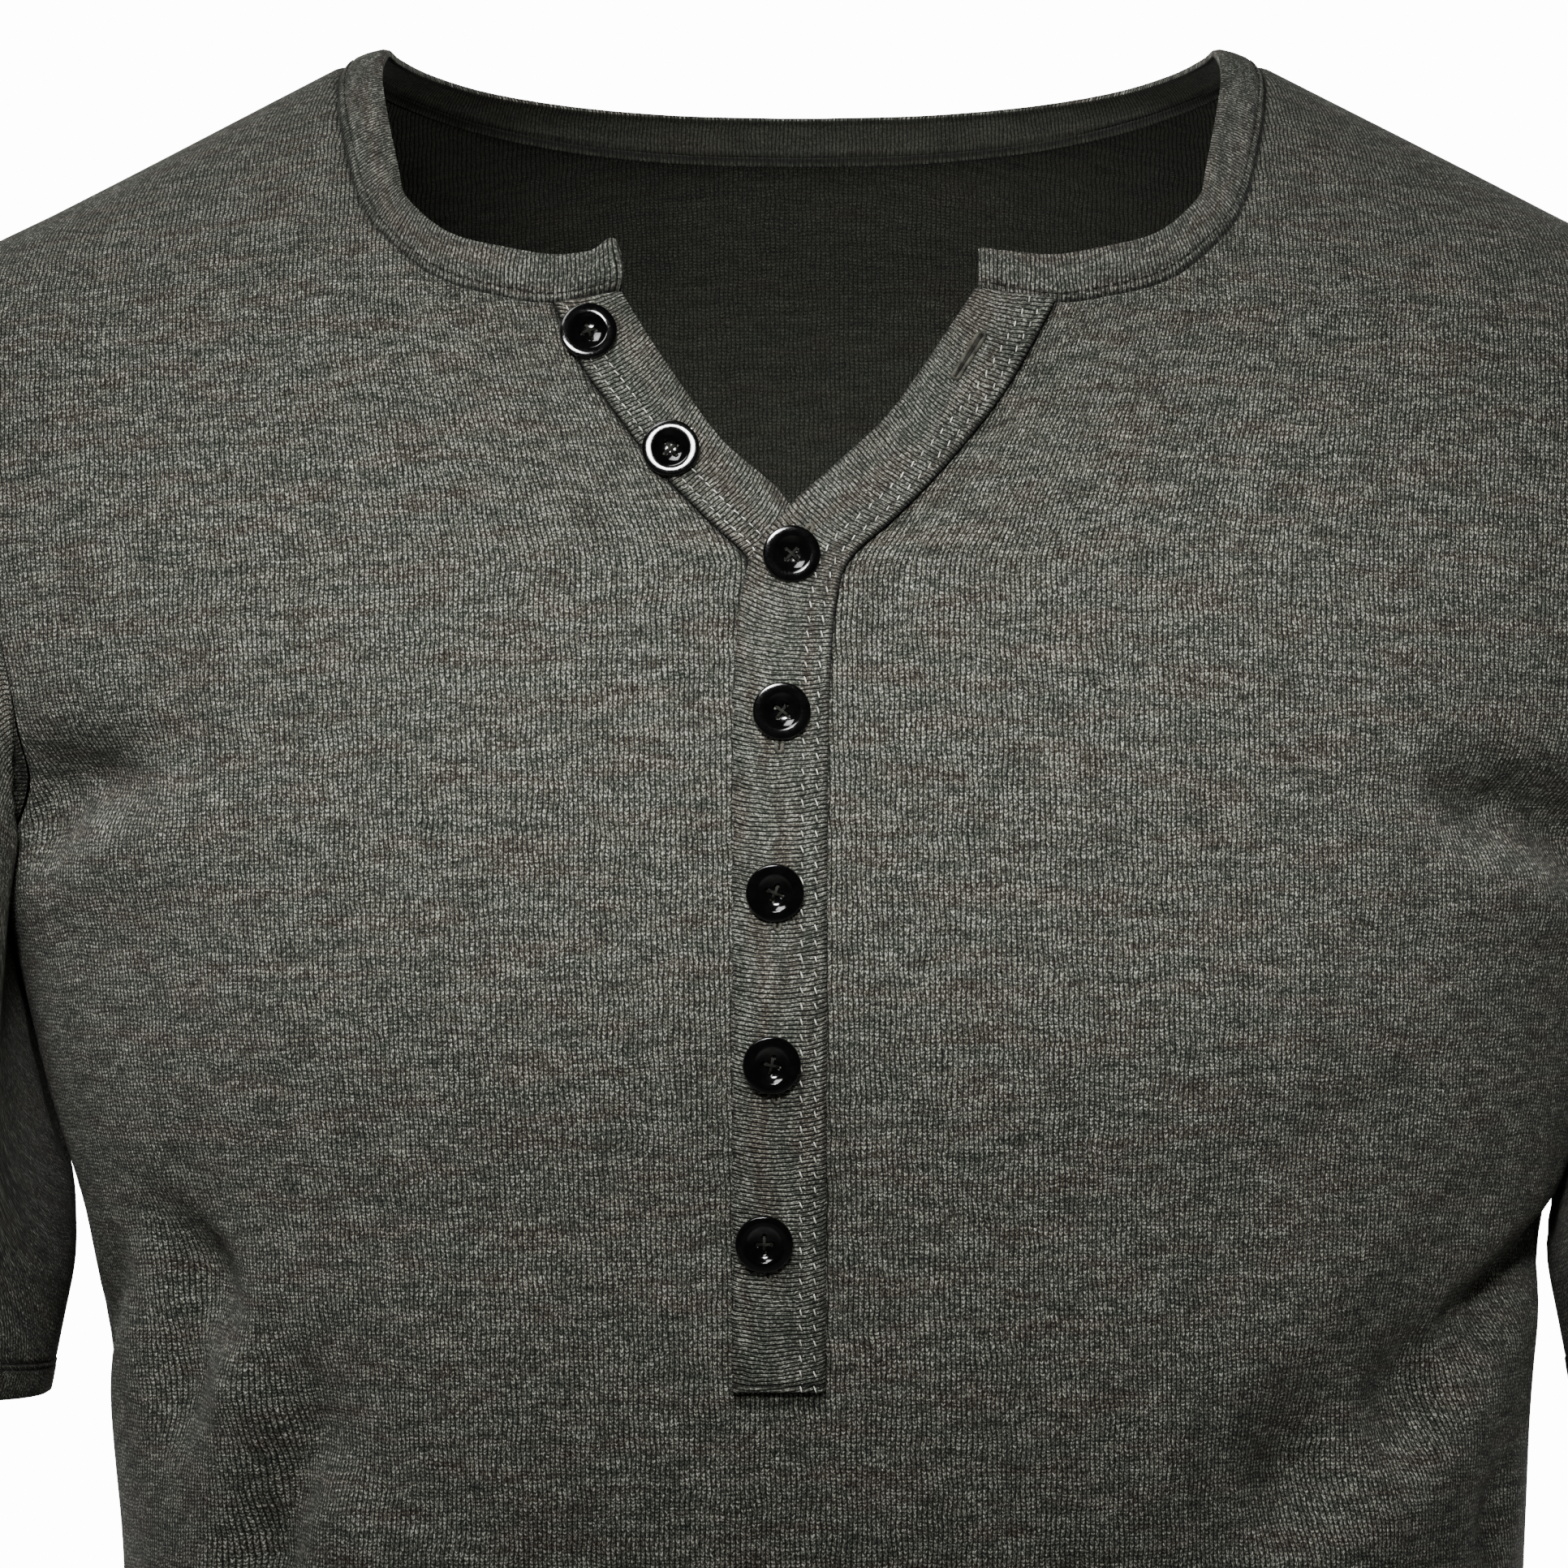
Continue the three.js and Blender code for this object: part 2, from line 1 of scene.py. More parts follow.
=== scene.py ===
# Henley shirt with half sleeves in dark melange jersey, filled out as when it is worn
import bpy
import math
import numpy as np
from mathutils import Matrix, Vector


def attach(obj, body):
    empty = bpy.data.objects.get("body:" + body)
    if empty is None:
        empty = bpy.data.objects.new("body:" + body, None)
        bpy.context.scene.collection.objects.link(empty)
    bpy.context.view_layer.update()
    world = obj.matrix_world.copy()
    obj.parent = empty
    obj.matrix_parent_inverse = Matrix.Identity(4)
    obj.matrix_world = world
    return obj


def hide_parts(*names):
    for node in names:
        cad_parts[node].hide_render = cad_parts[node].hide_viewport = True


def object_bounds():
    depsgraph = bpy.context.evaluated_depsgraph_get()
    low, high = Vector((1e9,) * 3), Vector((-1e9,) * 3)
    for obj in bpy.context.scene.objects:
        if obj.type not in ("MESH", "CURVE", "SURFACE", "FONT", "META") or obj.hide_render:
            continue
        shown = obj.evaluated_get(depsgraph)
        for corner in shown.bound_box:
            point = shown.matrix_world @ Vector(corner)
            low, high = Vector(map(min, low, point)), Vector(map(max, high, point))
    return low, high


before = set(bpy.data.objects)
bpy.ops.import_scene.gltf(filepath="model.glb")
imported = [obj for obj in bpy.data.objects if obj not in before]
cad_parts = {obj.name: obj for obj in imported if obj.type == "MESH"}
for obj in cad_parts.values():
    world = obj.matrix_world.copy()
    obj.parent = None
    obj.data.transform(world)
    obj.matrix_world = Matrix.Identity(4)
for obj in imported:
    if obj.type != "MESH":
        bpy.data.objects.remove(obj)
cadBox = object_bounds()
print("frame loaded:", len(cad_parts), "nodes")

# ---- tables shared with the solids, in millimetres ----
squareness = 2.3
neckHeight = 28.5
tipHeight = -25
underarmHeight = -194
slotBottom = -305
hemHeight = -662
frontReach = 38
backReach = 34
leftEndLonger = 2.6
ribWall = 1.6

# height, halfWidth, frontDepth, backDepth, centre
torsoRows = np.array([
    [-662, 190, 112, 102, 3], [-600, 187, 111, 99, 3], [-500, 182, 110, 93, 3],
    [-420, 180, 110, 90, 3], [-360, 180.5, 112, 92, 3], [-334, 182, 114, 95, 3],
    [-300, 185, 117, 99, 2.6], [-270, 189.5, 120, 103, 2], [-240, 197.5, 122.5, 106, 1.4],
    [-210, 204, 123.5, 110, 0.8], [-195, 207, 123, 111, 0.5], [-175, 214, 122, 113, 0.2],
    [-150, 228, 119, 115, -0.2], [-120, 245, 113, 115, -0.8], [-90, 255, 104, 113, -1.3],
    [-60, 253, 94, 108, -1.8], [-40, 241, 87, 102, -2.1], [-25, 221, 81, 96, -2.3],
    [-10, 192, 74, 88, -2.4], [10, 153.3, 62, 76, -2.5], [28.5, 117.5, 47, 60, -2.5],
    [40, 95, 37, 50, -2.5]])

# step, x from the middle, height, rise of the band, inward lean of the band
frontNeckRows = np.array([
    [0, 46, -35, 10.6, 4.5], [1, 61.4, -38.3, 12.2, 4.8], [2, 74, -36.8, 12.5, 5.4],
    [3, 90.5, -31.9, 11.8, 7], [4, 103.6, -21.5, 9.8, 9.2], [5, 111, -10.8, 7.6, 10.8],
    [6, 116.4, 8, 5.2, 11.4], [7, 118.6, 21, 4.4, 11.2], [8, 117.5, 28.5, 4, 11]])
backNeckRows = np.array([
    [0, 6, 9.6, 11.8, 3], [1, 34, 10.4, 11.6, 3.2], [2, 62, 13, 10.8, 4.2],
    [3, 86, 17.5, 9, 6], [4, 104, 23, 6.6, 8.6], [5, 117.5, 28.5, 4, 11]])

# height, left edge, right edge of the opening that the placket fills
slotRows = np.array([
    [-305, -18.5, 2.3], [-235, -18.6, 2.4], [-165, -18.5, 2.7], [-125, -18, 3.6],
    [-113, -17.5, 4.4], [-103, -16.1, 7.6], [-94, -25, 17.4], [-81, -37.6, 30],
    [-68, -47.6, 41.4], [-53.8, -57.5, 50.8], [-38.3, -64.4, 59.4]])

# step, left x, left height, right x, right height of the strip with the buttonholes
overRows = np.array([
    [0, -19.9, -307, 3.2, -307], [1, -19.6, -235, 3.3, -235], [2, -19.4, -165, 3.6, -165],
    [3, -18.9, -128, 4.4, -130], [4, -15.6, -104.5, 6.2, -111], [5, -6.2, -90.8, 10, -102.2],
    [6, 4.8, -80.6, 20.4, -92.8], [7, 18.7, -67.3, 33, -79.6], [8, 30.3, -50.9, 47.4, -61.4],
    [9, 40.2, -35.9, 60.3, -38.6]])

# height at the left edge, right x, right height of the strip with the buttons
underRows = np.array([
    [-305, 1.7, -304.6], [-165, 2, -165], [-125, 1, -121], [-103, -5, -90.5],
    [-84.8, -22.4, -73], [-69.8, -32.6, -58.9], [-53.8, -41.6, -45.4], [-38.3, -47.3, -35.8]])

# from angle, from height, to angle, to height, width, depth
bodyFolds = [
    [-42, -148, -70, -168, 9, -6], [42, -156, 70, -176, 9, -6],
    [-40, -168, -76, -190, 14, 3], [40, -176, 76, -198, 14, 3],
    [-64, -262, -34, -338, 13, -4], [-58, -300, -24, -372, 15, 3],
    [58, -266, 28, -346, 13, -4], [62, -310, 30, -386, 15, 3],
    [-50, -430, -60, -655, 26, -5], [-22, -470, -26, -655, 28, 4],
    [20, -450, 30, -655, 28, -4], [52, -430, 58, -655, 26, 5],
    [112, -158, 138, -140, 11, -5], [-112, -158, -138, -140, 11, -5],
    [118, -270, 152, -330, 16, -4], [-118, -270, -152, -330, 16, -4],
    [140, -340, 176, -352, 16, 4], [-140, -350, -172, -372, 14, -4],
    [130, -440, 124, -655, 28, 5], [164, -430, 168, -655, 28, -5],
    [-150, -440, -146, -655, 28, 5]]
sleeveFolds = [
    [40, 0.1, 120, 0.42, 16, -4], [20, 0.34, 96, 0.62, 16, 3],
    [322, 0.12, 250, 0.46, 16, -4], [330, 0.5, 262, 0.76, 18, 3],
    [60, 0.62, 130, 0.84, 15, -3]]

# Finer folds that only the cloth shows, same columns
fineFolds = [
    [-30, -150, -52, -152, 6, -1.2], [30, -158, 52, -162, 6, -1.2],
    [-52, -214, -30, -246, 9, -1.1], [52, -222, 30, -256, 9, -1.1],
    [-46, -318, -20, -352, 8, -1.6], [46, -330, 20, -370, 8, -1.6],
    [-70, -282, -48, -330, 8, -2], [70, -288, 46, -338, 8, -2],
    [-16, -330, -30, -420, 12, -1.6], [14, -322, 26, -410, 12, -1.4],
    [-70, -60, -44, -96, 14, -0.9], [70, -66, 46, -104, 14, -0.9],
    [-38, -500, -42, -655, 12, 2], [8, -520, 4, -655, 14, -2],
    [-84, -400, -78, -640, 16, 3], [84, -420, 80, -640, 16, -3],
    [104, -196, 128, -226, 10, -2], [-104, -196, -128, -226, 10, -2],
    [150, -200, 172, -186, 14, -1.5], [-150, -210, -172, -196, 14, -1.5],
    [100, -420, 106, -640, 16, 3], [-104, -400, -110, -640, 16, -3],
    [178, -300, 160, -390, 12, 2], [-160, -520, -164, -650, 14, -3],
    [142, -520, 146, -650, 14, -3],
    [-6.5, -304, -11, -298, 1.8, -0.5], [-6.5, -296, -13, -288, 2, -0.5],
    [-6.5, -286, -12, -276, 2, -0.4], [1.6, -300, 6, -292, 2, -0.4],
    [-5, -309, -7, -322, 2.2, -0.6], [-1, -309, -0.5, -326, 2.4, -0.5],
    [1, -308, 4, -320, 2.2, -0.5]]

# Deep creases of the front, from x, from height, to x, to height, width, depth
creases = [
    [-196, -177, -184, -161, 7, -7.5], [-187, -160.5, -164, -160, 7, -7],
    [-156, -268, -164, -304, 16, -10], [-162, -300, -167, -326, 12, -7],
    [-128, -313, -140, -345, 12, -12], [-138, -340, -146, -366, 12, -11],
    [-141, -288, -152, -320, 8, 4], [-176, -276, -182, -306, 9, -5],
    [156, -166, 180, -169, 8, -7.5], [176, -168, 200, -181, 8, -8],
    [200, -269, 180, -286, 10, -8], [184, -283, 163, -298, 11, -9.5],
    [166, -300, 143, -322, 15, -13], [134, -320, 114, -340, 13, -9],
    [180, -330, 172, -354, 11, -4]]


def readTable(rows, key):
    # smooth reading of a table by its first column
    key = np.asarray(key, float)
    knots = rows[:, 0]
    last = len(rows) - 1
    i = np.clip(np.searchsorted(knots, key, side="left") - 1, 0, last - 1)
    span = knots[i + 1] - knots[i]
    u = np.clip((key - knots[i]) / span, 0, 1)[..., None]
    before, after = np.maximum(np.arange(last + 1) - 1, 0), np.minimum(np.arange(last + 1) + 1, last)
    slopes = (rows[after] - rows[before]) / (knots[after] - knots[before])[:, None]
    first, second = slopes[i] * span[..., None], slopes[i + 1] * span[..., None]
    start, end = rows[i], rows[i + 1]
    a = 2 * start - 2 * end + first + second
    b = -3 * start + 3 * end - 2 * first - second
    return ((a * u + b) * u + first) * u + start


def foldDepth(folds, angle, height, across, along):
    total = np.zeros(np.broadcast(angle, height).shape)
    for a0, h0, a1, h1, width, depth in folds:
        dx, dy = (a1 - a0) * across, (h1 - h0) * along
        px, py = (angle - a0) * across, (height - h0) * along
        t = np.clip((px * dx + py * dy) / (dx * dx + dy * dy), 0, 1)
        off = np.hypot(px - t * dx, py - t * dy) / width
        total += depth * (1 - 0.7 * (2 * t - 1) ** 2) * np.exp(-off * off)
    return total


def bareBody(angle, height):
    row = readTable(torsoRows, height)
    s, c = np.sin(np.radians(angle)), np.cos(np.radians(angle))
    size = (np.abs(s) ** squareness + np.abs(c) ** squareness) ** (-1 / squareness)
    depth = np.where(c > 0, row[..., 2], row[..., 3])
    x = row[..., 4] + row[..., 1] * s * size
    return np.stack([x, -depth * c * size, height + 0 * x], -1)


def bodyNormal(angle, height):
    around = bareBody(angle + 0.4, height) - bareBody(angle - 0.4, height)
    up = bareBody(angle, height + 1) - bareBody(angle, height - 1)
    normal = np.cross(around, up)
    return normal / np.linalg.norm(normal, axis=-1, keepdims=True)


def ripple(u, v):
    # gentle unevenness of hanging jersey, from waves of unlike length and direction
    waves = ((0.061, 0.023, 0.4, 0.5), (-0.034, 0.047, 1.9, 0.5), (0.019, -0.071, 3.1, 0.35),
             (0.093, 0.052, 5.2, 0.22), (-0.117, 0.031, 0.8, 0.18), (0.043, 0.14, 2.2, 0.12))
    return sum(size * np.sin(a * u + b * v + phase) for a, b, phase, size in waves)


def bodyPoint(angle, height, lift=0, fine=True):
    turned = np.where(angle > 180, angle - 360, angle)
    away = lift + foldDepth(bodyFolds, turned, height, 3, 1)
    if fine:
        away = away + foldDepth(fineFolds + creaseLines, turned, height, 3, 1)
        quiet = np.clip((np.abs(turned + 2.5) - 8) / 16, 0, 1) * np.clip((30 - height) / 60, 0, 1)
        away = away + 0.55 * quiet * ripple(turned * 3, height)
    below = np.clip((-212 - height) / 62, 0, 1) * np.clip((height + 520) / 120, 0, 1)
    away = away - 6 * below * below * (3 - 2 * below) * np.clip((80 - np.abs(turned)) / 40, 0, 1)
    normal = bodyNormal(angle, height)
    return bareBody(angle, height) + normal * np.asarray(away)[..., None], normal


def creaseTable():
    made = []
    for x0, h0, x1, h1, width, depth in creases:
        a = angleAt(np.array([x0, x1]), np.array([h0, h1]))
        made.append([float(a[0]), h0, float(a[1]), h1, width, depth])
    return made


def angleAt(x, height, back=False):
    x, height = np.broadcast_arrays(np.asarray(x, float), np.asarray(height, float))
    low, high = np.full(x.shape, -90.0), np.full(x.shape, 90.0)
    for step in range(34):
        middle = (low + high) / 2
        below = bareBody(middle, height)[..., 0] < x
        low, high = np.where(below, middle, low), np.where(below, high, middle)
    return 180 - low if back else low


creaseLines = creaseTable()


def armhole(turn, reach):
    middle, half = (tipHeight + underarmHeight) / 2, (tipHeight - underarmHeight) / 2
    spread = np.maximum(np.sin(np.radians(turn)), 0) ** (0.5 + 0.9 * turn / 180)
    return reach * spread, middle + half * np.cos(np.radians(turn))


def mix(a, b, u):
    return a + (b - a) * u


# ---- length along the cloth, so that the knit keeps its real size ----
lineHeights = np.linspace(hemHeight, 40, 176)
lineAngles = np.linspace(0, 180, 181)
gridAngles, gridHeights = np.meshgrid(lineAngles, lineHeights)
gridPoints = bareBody(gridAngles, gridHeights)
acrossLength = np.zeros(gridAngles.shape)
acrossLength[:, 1:] = np.cumsum(np.linalg.norm(np.diff(gridPoints, axis=1), axis=-1), axis=1)
upLength = np.zeros(gridAngles.shape)
upLength[1:] = np.cumsum(np.linalg.norm(np.diff(gridPoints, axis=0), axis=-1), axis=0)


def clothPlace(angle, height, back=False):
    # where a body point lies on the flat cloth, in millimetres from the middle of its panel
    off = np.abs(np.where(angle > 180, angle - 360, angle))
    a = np.clip(off, 0, 179.999)
    h = np.clip((height - lineHeights[0]) / (lineHeights[1] - lineHeights[0]), 0, 174.999)
    i, j = h.astype(int), a.astype(int)
    fh, fa = h - i, a - j
    both = []
    for table in (acrossLength, upLength):
        both.append((table[i, j] * (1 - fa) + table[i, j + 1] * fa) * (1 - fh)
                    + (table[i + 1, j] * (1 - fa) + table[i + 1, j + 1] * fa) * fh)
    side = np.sign(np.where(angle > 180, angle - 360, angle))
    if back:
        both[0] = (acrossLength[i, -1] * (1 - fh) + acrossLength[i + 1, -1] * fh) - both[0]
    return np.stack([both[0] * side, both[1]], -1)


# ---- meshes ----
def gridNormals(grid, wrap=False):
    if wrap:
        around = np.roll(grid, -1, axis=1) - np.roll(grid, 1, axis=1)
    else:
        around = np.gradient(grid, axis=1)
    normal = np.cross(around, np.gradient(grid, axis=0))
    return normal / np.maximum(np.linalg.norm(normal, axis=-1, keepdims=True), 1e-9)


def wallMesh(name, outer, normal, wall, uv, paintedSeamShade, hole=None, wrap=False):
    # closed thin wall from a grid of outer points; hole marks cells without cloth,
    # the seam mask is 1 along seams, stitch lines and grooves, where the colour is darkened as painted shade
    rows, columns = outer.shape[:2]
    wide = columns if wrap else columns - 1
    here = np.ones((rows - 1, wide), bool)
    if hole is not None:
        here &= ~hole
    inner = outer - normal * np.asarray(wall)[..., None]
    r, c = np.nonzero(here)
    after = (c + 1) % columns
    p, q, s, t = r * columns + c, r * columns + after, (r + 1) * columns + after, (r + 1) * columns + c
    shift = rows * columns
    faces = [np.stack([p, q, s, t], -1), np.stack([t, s, q, p], -1) + shift]
    padded = np.zeros((rows + 1, wide + 2), bool)
    padded[1:-1, 1:-1] = here
    if wrap:
        padded[1:-1, 0], padded[1:-1, -1] = here[:, -1], here[:, 0]
    low, high = ~padded[r, c + 1], ~padded[r + 2, c + 1]
    left, right = ~padded[r + 1, c], ~padded[r + 1, c + 2]
    for gone, a, b in ((low, q, p), (high, t, s), (left, p, t), (right, s, q)):
        faces.append(np.stack([a[gone], b[gone], b[gone] + shift, a[gone] + shift], -1))
    faces = np.concatenate(faces)
    points = np.concatenate([outer.reshape(-1, 3), inner.reshape(-1, 3)]) / 1000
    # a tube has one more column of places than of points, for its last cells
    cellColumn = np.concatenate([c, c, c[low], c[high], c[left], c[right]])[:, None]
    column = faces % columns
    column = np.where(wrap & (cellColumn == columns - 1) & (column == 0), columns, column)
    places = uv[(faces % shift) // columns, column]
    used, faces = np.unique(faces, return_inverse=True)
    made = meshObject(name, points[used], faces.reshape(-1, 4), places)
    # the inner faces take the second material, the darker reverse that stands as painted shade
    inside = np.zeros(len(made.data.polygons), np.int32)
    inside[len(p):2 * len(p)] = 1
    made.data.polygons.foreach_set("material_index", inside)
    # the seam mask goes on the points, for the painted shade in the material
    marks = np.concatenate([paintedSeamShade.ravel()] * 2)[used]
    made.data.attributes.new("paintedSeamShade", "FLOAT", "POINT").data.foreach_set("value", marks.astype(np.float32))
    return made


def meshObject(name, points, faces, places=None):
    mesh = bpy.data.meshes.new(name)
    mesh.from_pydata(points.tolist(), [], faces.tolist() if hasattr(faces, "tolist") else faces)
    mesh.polygons.foreach_set("use_smooth", [True] * len(mesh.polygons))
    if places is not None:
        layer = mesh.uv_layers.new(name="cloth")
        layer.data.foreach_set("uv", places.astype(np.float32).ravel())
    mesh.update()
    made = bpy.data.objects.new(name, mesh)
    bpy.context.scene.collection.objects.link(made)
    return made


def alongLine(points, normals, pitch, start=0.5):
    # even places along a line, with the way it runs and the way out of the cloth
    lengths = np.concatenate([[0], np.cumsum(np.linalg.norm(np.diff(points, axis=0), axis=1))])
    at = np.arange(start * pitch, lengths[-1] - 0.3 * pitch, pitch)
    place = np.stack([np.interp(at, lengths, points[:, k]) for k in range(3)], -1)
    out = np.stack([np.interp(at, lengths, normals[:, k]) for k in range(3)], -1)
    ahead = np.stack([np.interp(at + 0.4, lengths, points[:, k]) for k in range(3)], -1)
    back = np.stack([np.interp(at - 0.4, lengths, points[:, k]) for k in range(3)], -1)
    way = ahead - back
    way /= np.maximum(np.linalg.norm(way, axis=1, keepdims=True), 1e-9)
    out -= way * np.sum(out * way, axis=1, keepdims=True)
    return place, way, out / np.linalg.norm(out, axis=1, keepdims=True)


def stitchMesh(place, way, out, length, radius, arch, slant=0.0, seed=1, sides=6):
    # one bent strand of thread per place, its ends sunk into the cloth
    chance = np.random.default_rng(seed)
    count = len(place)
    across = np.cross(out, way)
    turn = slant + chance.normal(0, 0.05, count)
    lead = way * np.cos(turn)[:, None] + across * np.sin(turn)[:, None]
    flat = np.cross(out, lead)
    steps = np.array([-0.5, -0.3, 0, 0.3, 0.5])
    rise = np.array([-0.9, 0.45, 1, 0.45, -0.9]) * arch
    thick = np.array([0.55, 0.95, 1, 0.95, 0.55]) * radius
    around = 2 * np.pi * np.arange(sides) / sides
    stretch = length * (1 + chance.normal(0, 0.05, count))
    middle = (place[:, None] + lead[:, None] * steps[None, :, None] * stretch[:, None, None]
              + out[:, None] * rise[None, :, None])
    ring = (flat[:, None, None] * np.cos(around)[None, None, :, None]
            + out[:, None, None] * np.sin(around)[None, None, :, None])
    points = middle[:, :, None] + ring * thick[None, :, None, None]
    base = (np.arange(count) * 5 * sides)[:, None, None]
    ringId = np.arange(4)[None, :, None] * sides
    side = np.arange(sides)[None, None, :]
    nextSide = (side + 1) % sides
    faces = np.stack([base + ringId + side, base + ringId + nextSide,
                      base + ringId + sides + nextSide, base + ringId + sides + side], -1).reshape(-1, 4)
    caps = [[int(b) + k for k in reversed(range(sides))] for b in base.ravel()]
    caps += [[int(b) + 4 * sides + k for k in range(sides)] for b in base.ravel()]
    return points.reshape(-1, 3), faces.tolist() + caps


def joinParts(name, parts):
    points, faces, shift = [], [], 0
    for somePoints, someFaces in parts:
        points.append(somePoints)
        faces += [[v + shift for v in face] for face in someFaces]
        shift += len(somePoints)
    return meshObject(name, np.concatenate(points) / 1000, faces)


# ---- materials ----
def linear(code):
    parts = [int(code[k:k + 2], 16) / 255 for k in (1, 3, 5)]
    return tuple(c / 12.92 if c <= 0.04045 else ((c + 0.055) / 1.055) ** 2.4 for c in parts) + (1,)


def addNode(tree, kind, settings=None, inputs=None):
    made = tree.nodes.new(kind)
    for name, value in (settings or {}).items():
        setattr(made, name, value)
    for name, value in (inputs or {}).items():
        if isinstance(value, bpy.types.Node):
            value = value.outputs[0]
        if isinstance(value, bpy.types.NodeSocket):
            tree.links.new(value, made.inputs[name])
        else:
            made.inputs[name].default_value = value
    return made


def newMaterial(name):
    material = bpy.data.materials.new(name)
    material.use_nodes = True
    tree = material.node_tree
    tree.nodes.clear()
    return material, tree


# deep sets how dark the painted shade in the grooves between the loops gets
jerseyLook = {
    "dark": "#0f110d", "middle": "#4e4f47", "light": "#cecfc1",  # fibres of the melange yarn
    "warm": "#57473e", "cool": "#414c43",  # faint brown and green shades of the dyed cotton
    "waleSpacing": 1.25, "courseSpacing": 1.0, "chevron": 0.62, "relief": 0.36, "groove": 0.32, "deep": 0.04,
    "waver": 0.2, "mixed": 0.17,
}
ribLook = {
    "dark": "#0f110d", "middle": "#4b4c45", "light": "#cbccbf",
    "warm": "#56483f", "cool": "#414b42",
    "waleSpacing": 1.07, "courseSpacing": 0.85, "chevron": 0.3, "relief": 0.5, "groove": 0.1, "deep": 0.03,
    "waver": 0.1, "mixed": 0.13,
}


# the reverse of the cloth is a darker copy of the knit: painted shade for the inside of the shirt
shadedReverseLook = {"dark": "#171814", "middle": "#383a32", "light": "#595b51", "warm": "#3c3730", "cool": "#323730",
               "deep": 0.3, "mixed": 0.1}


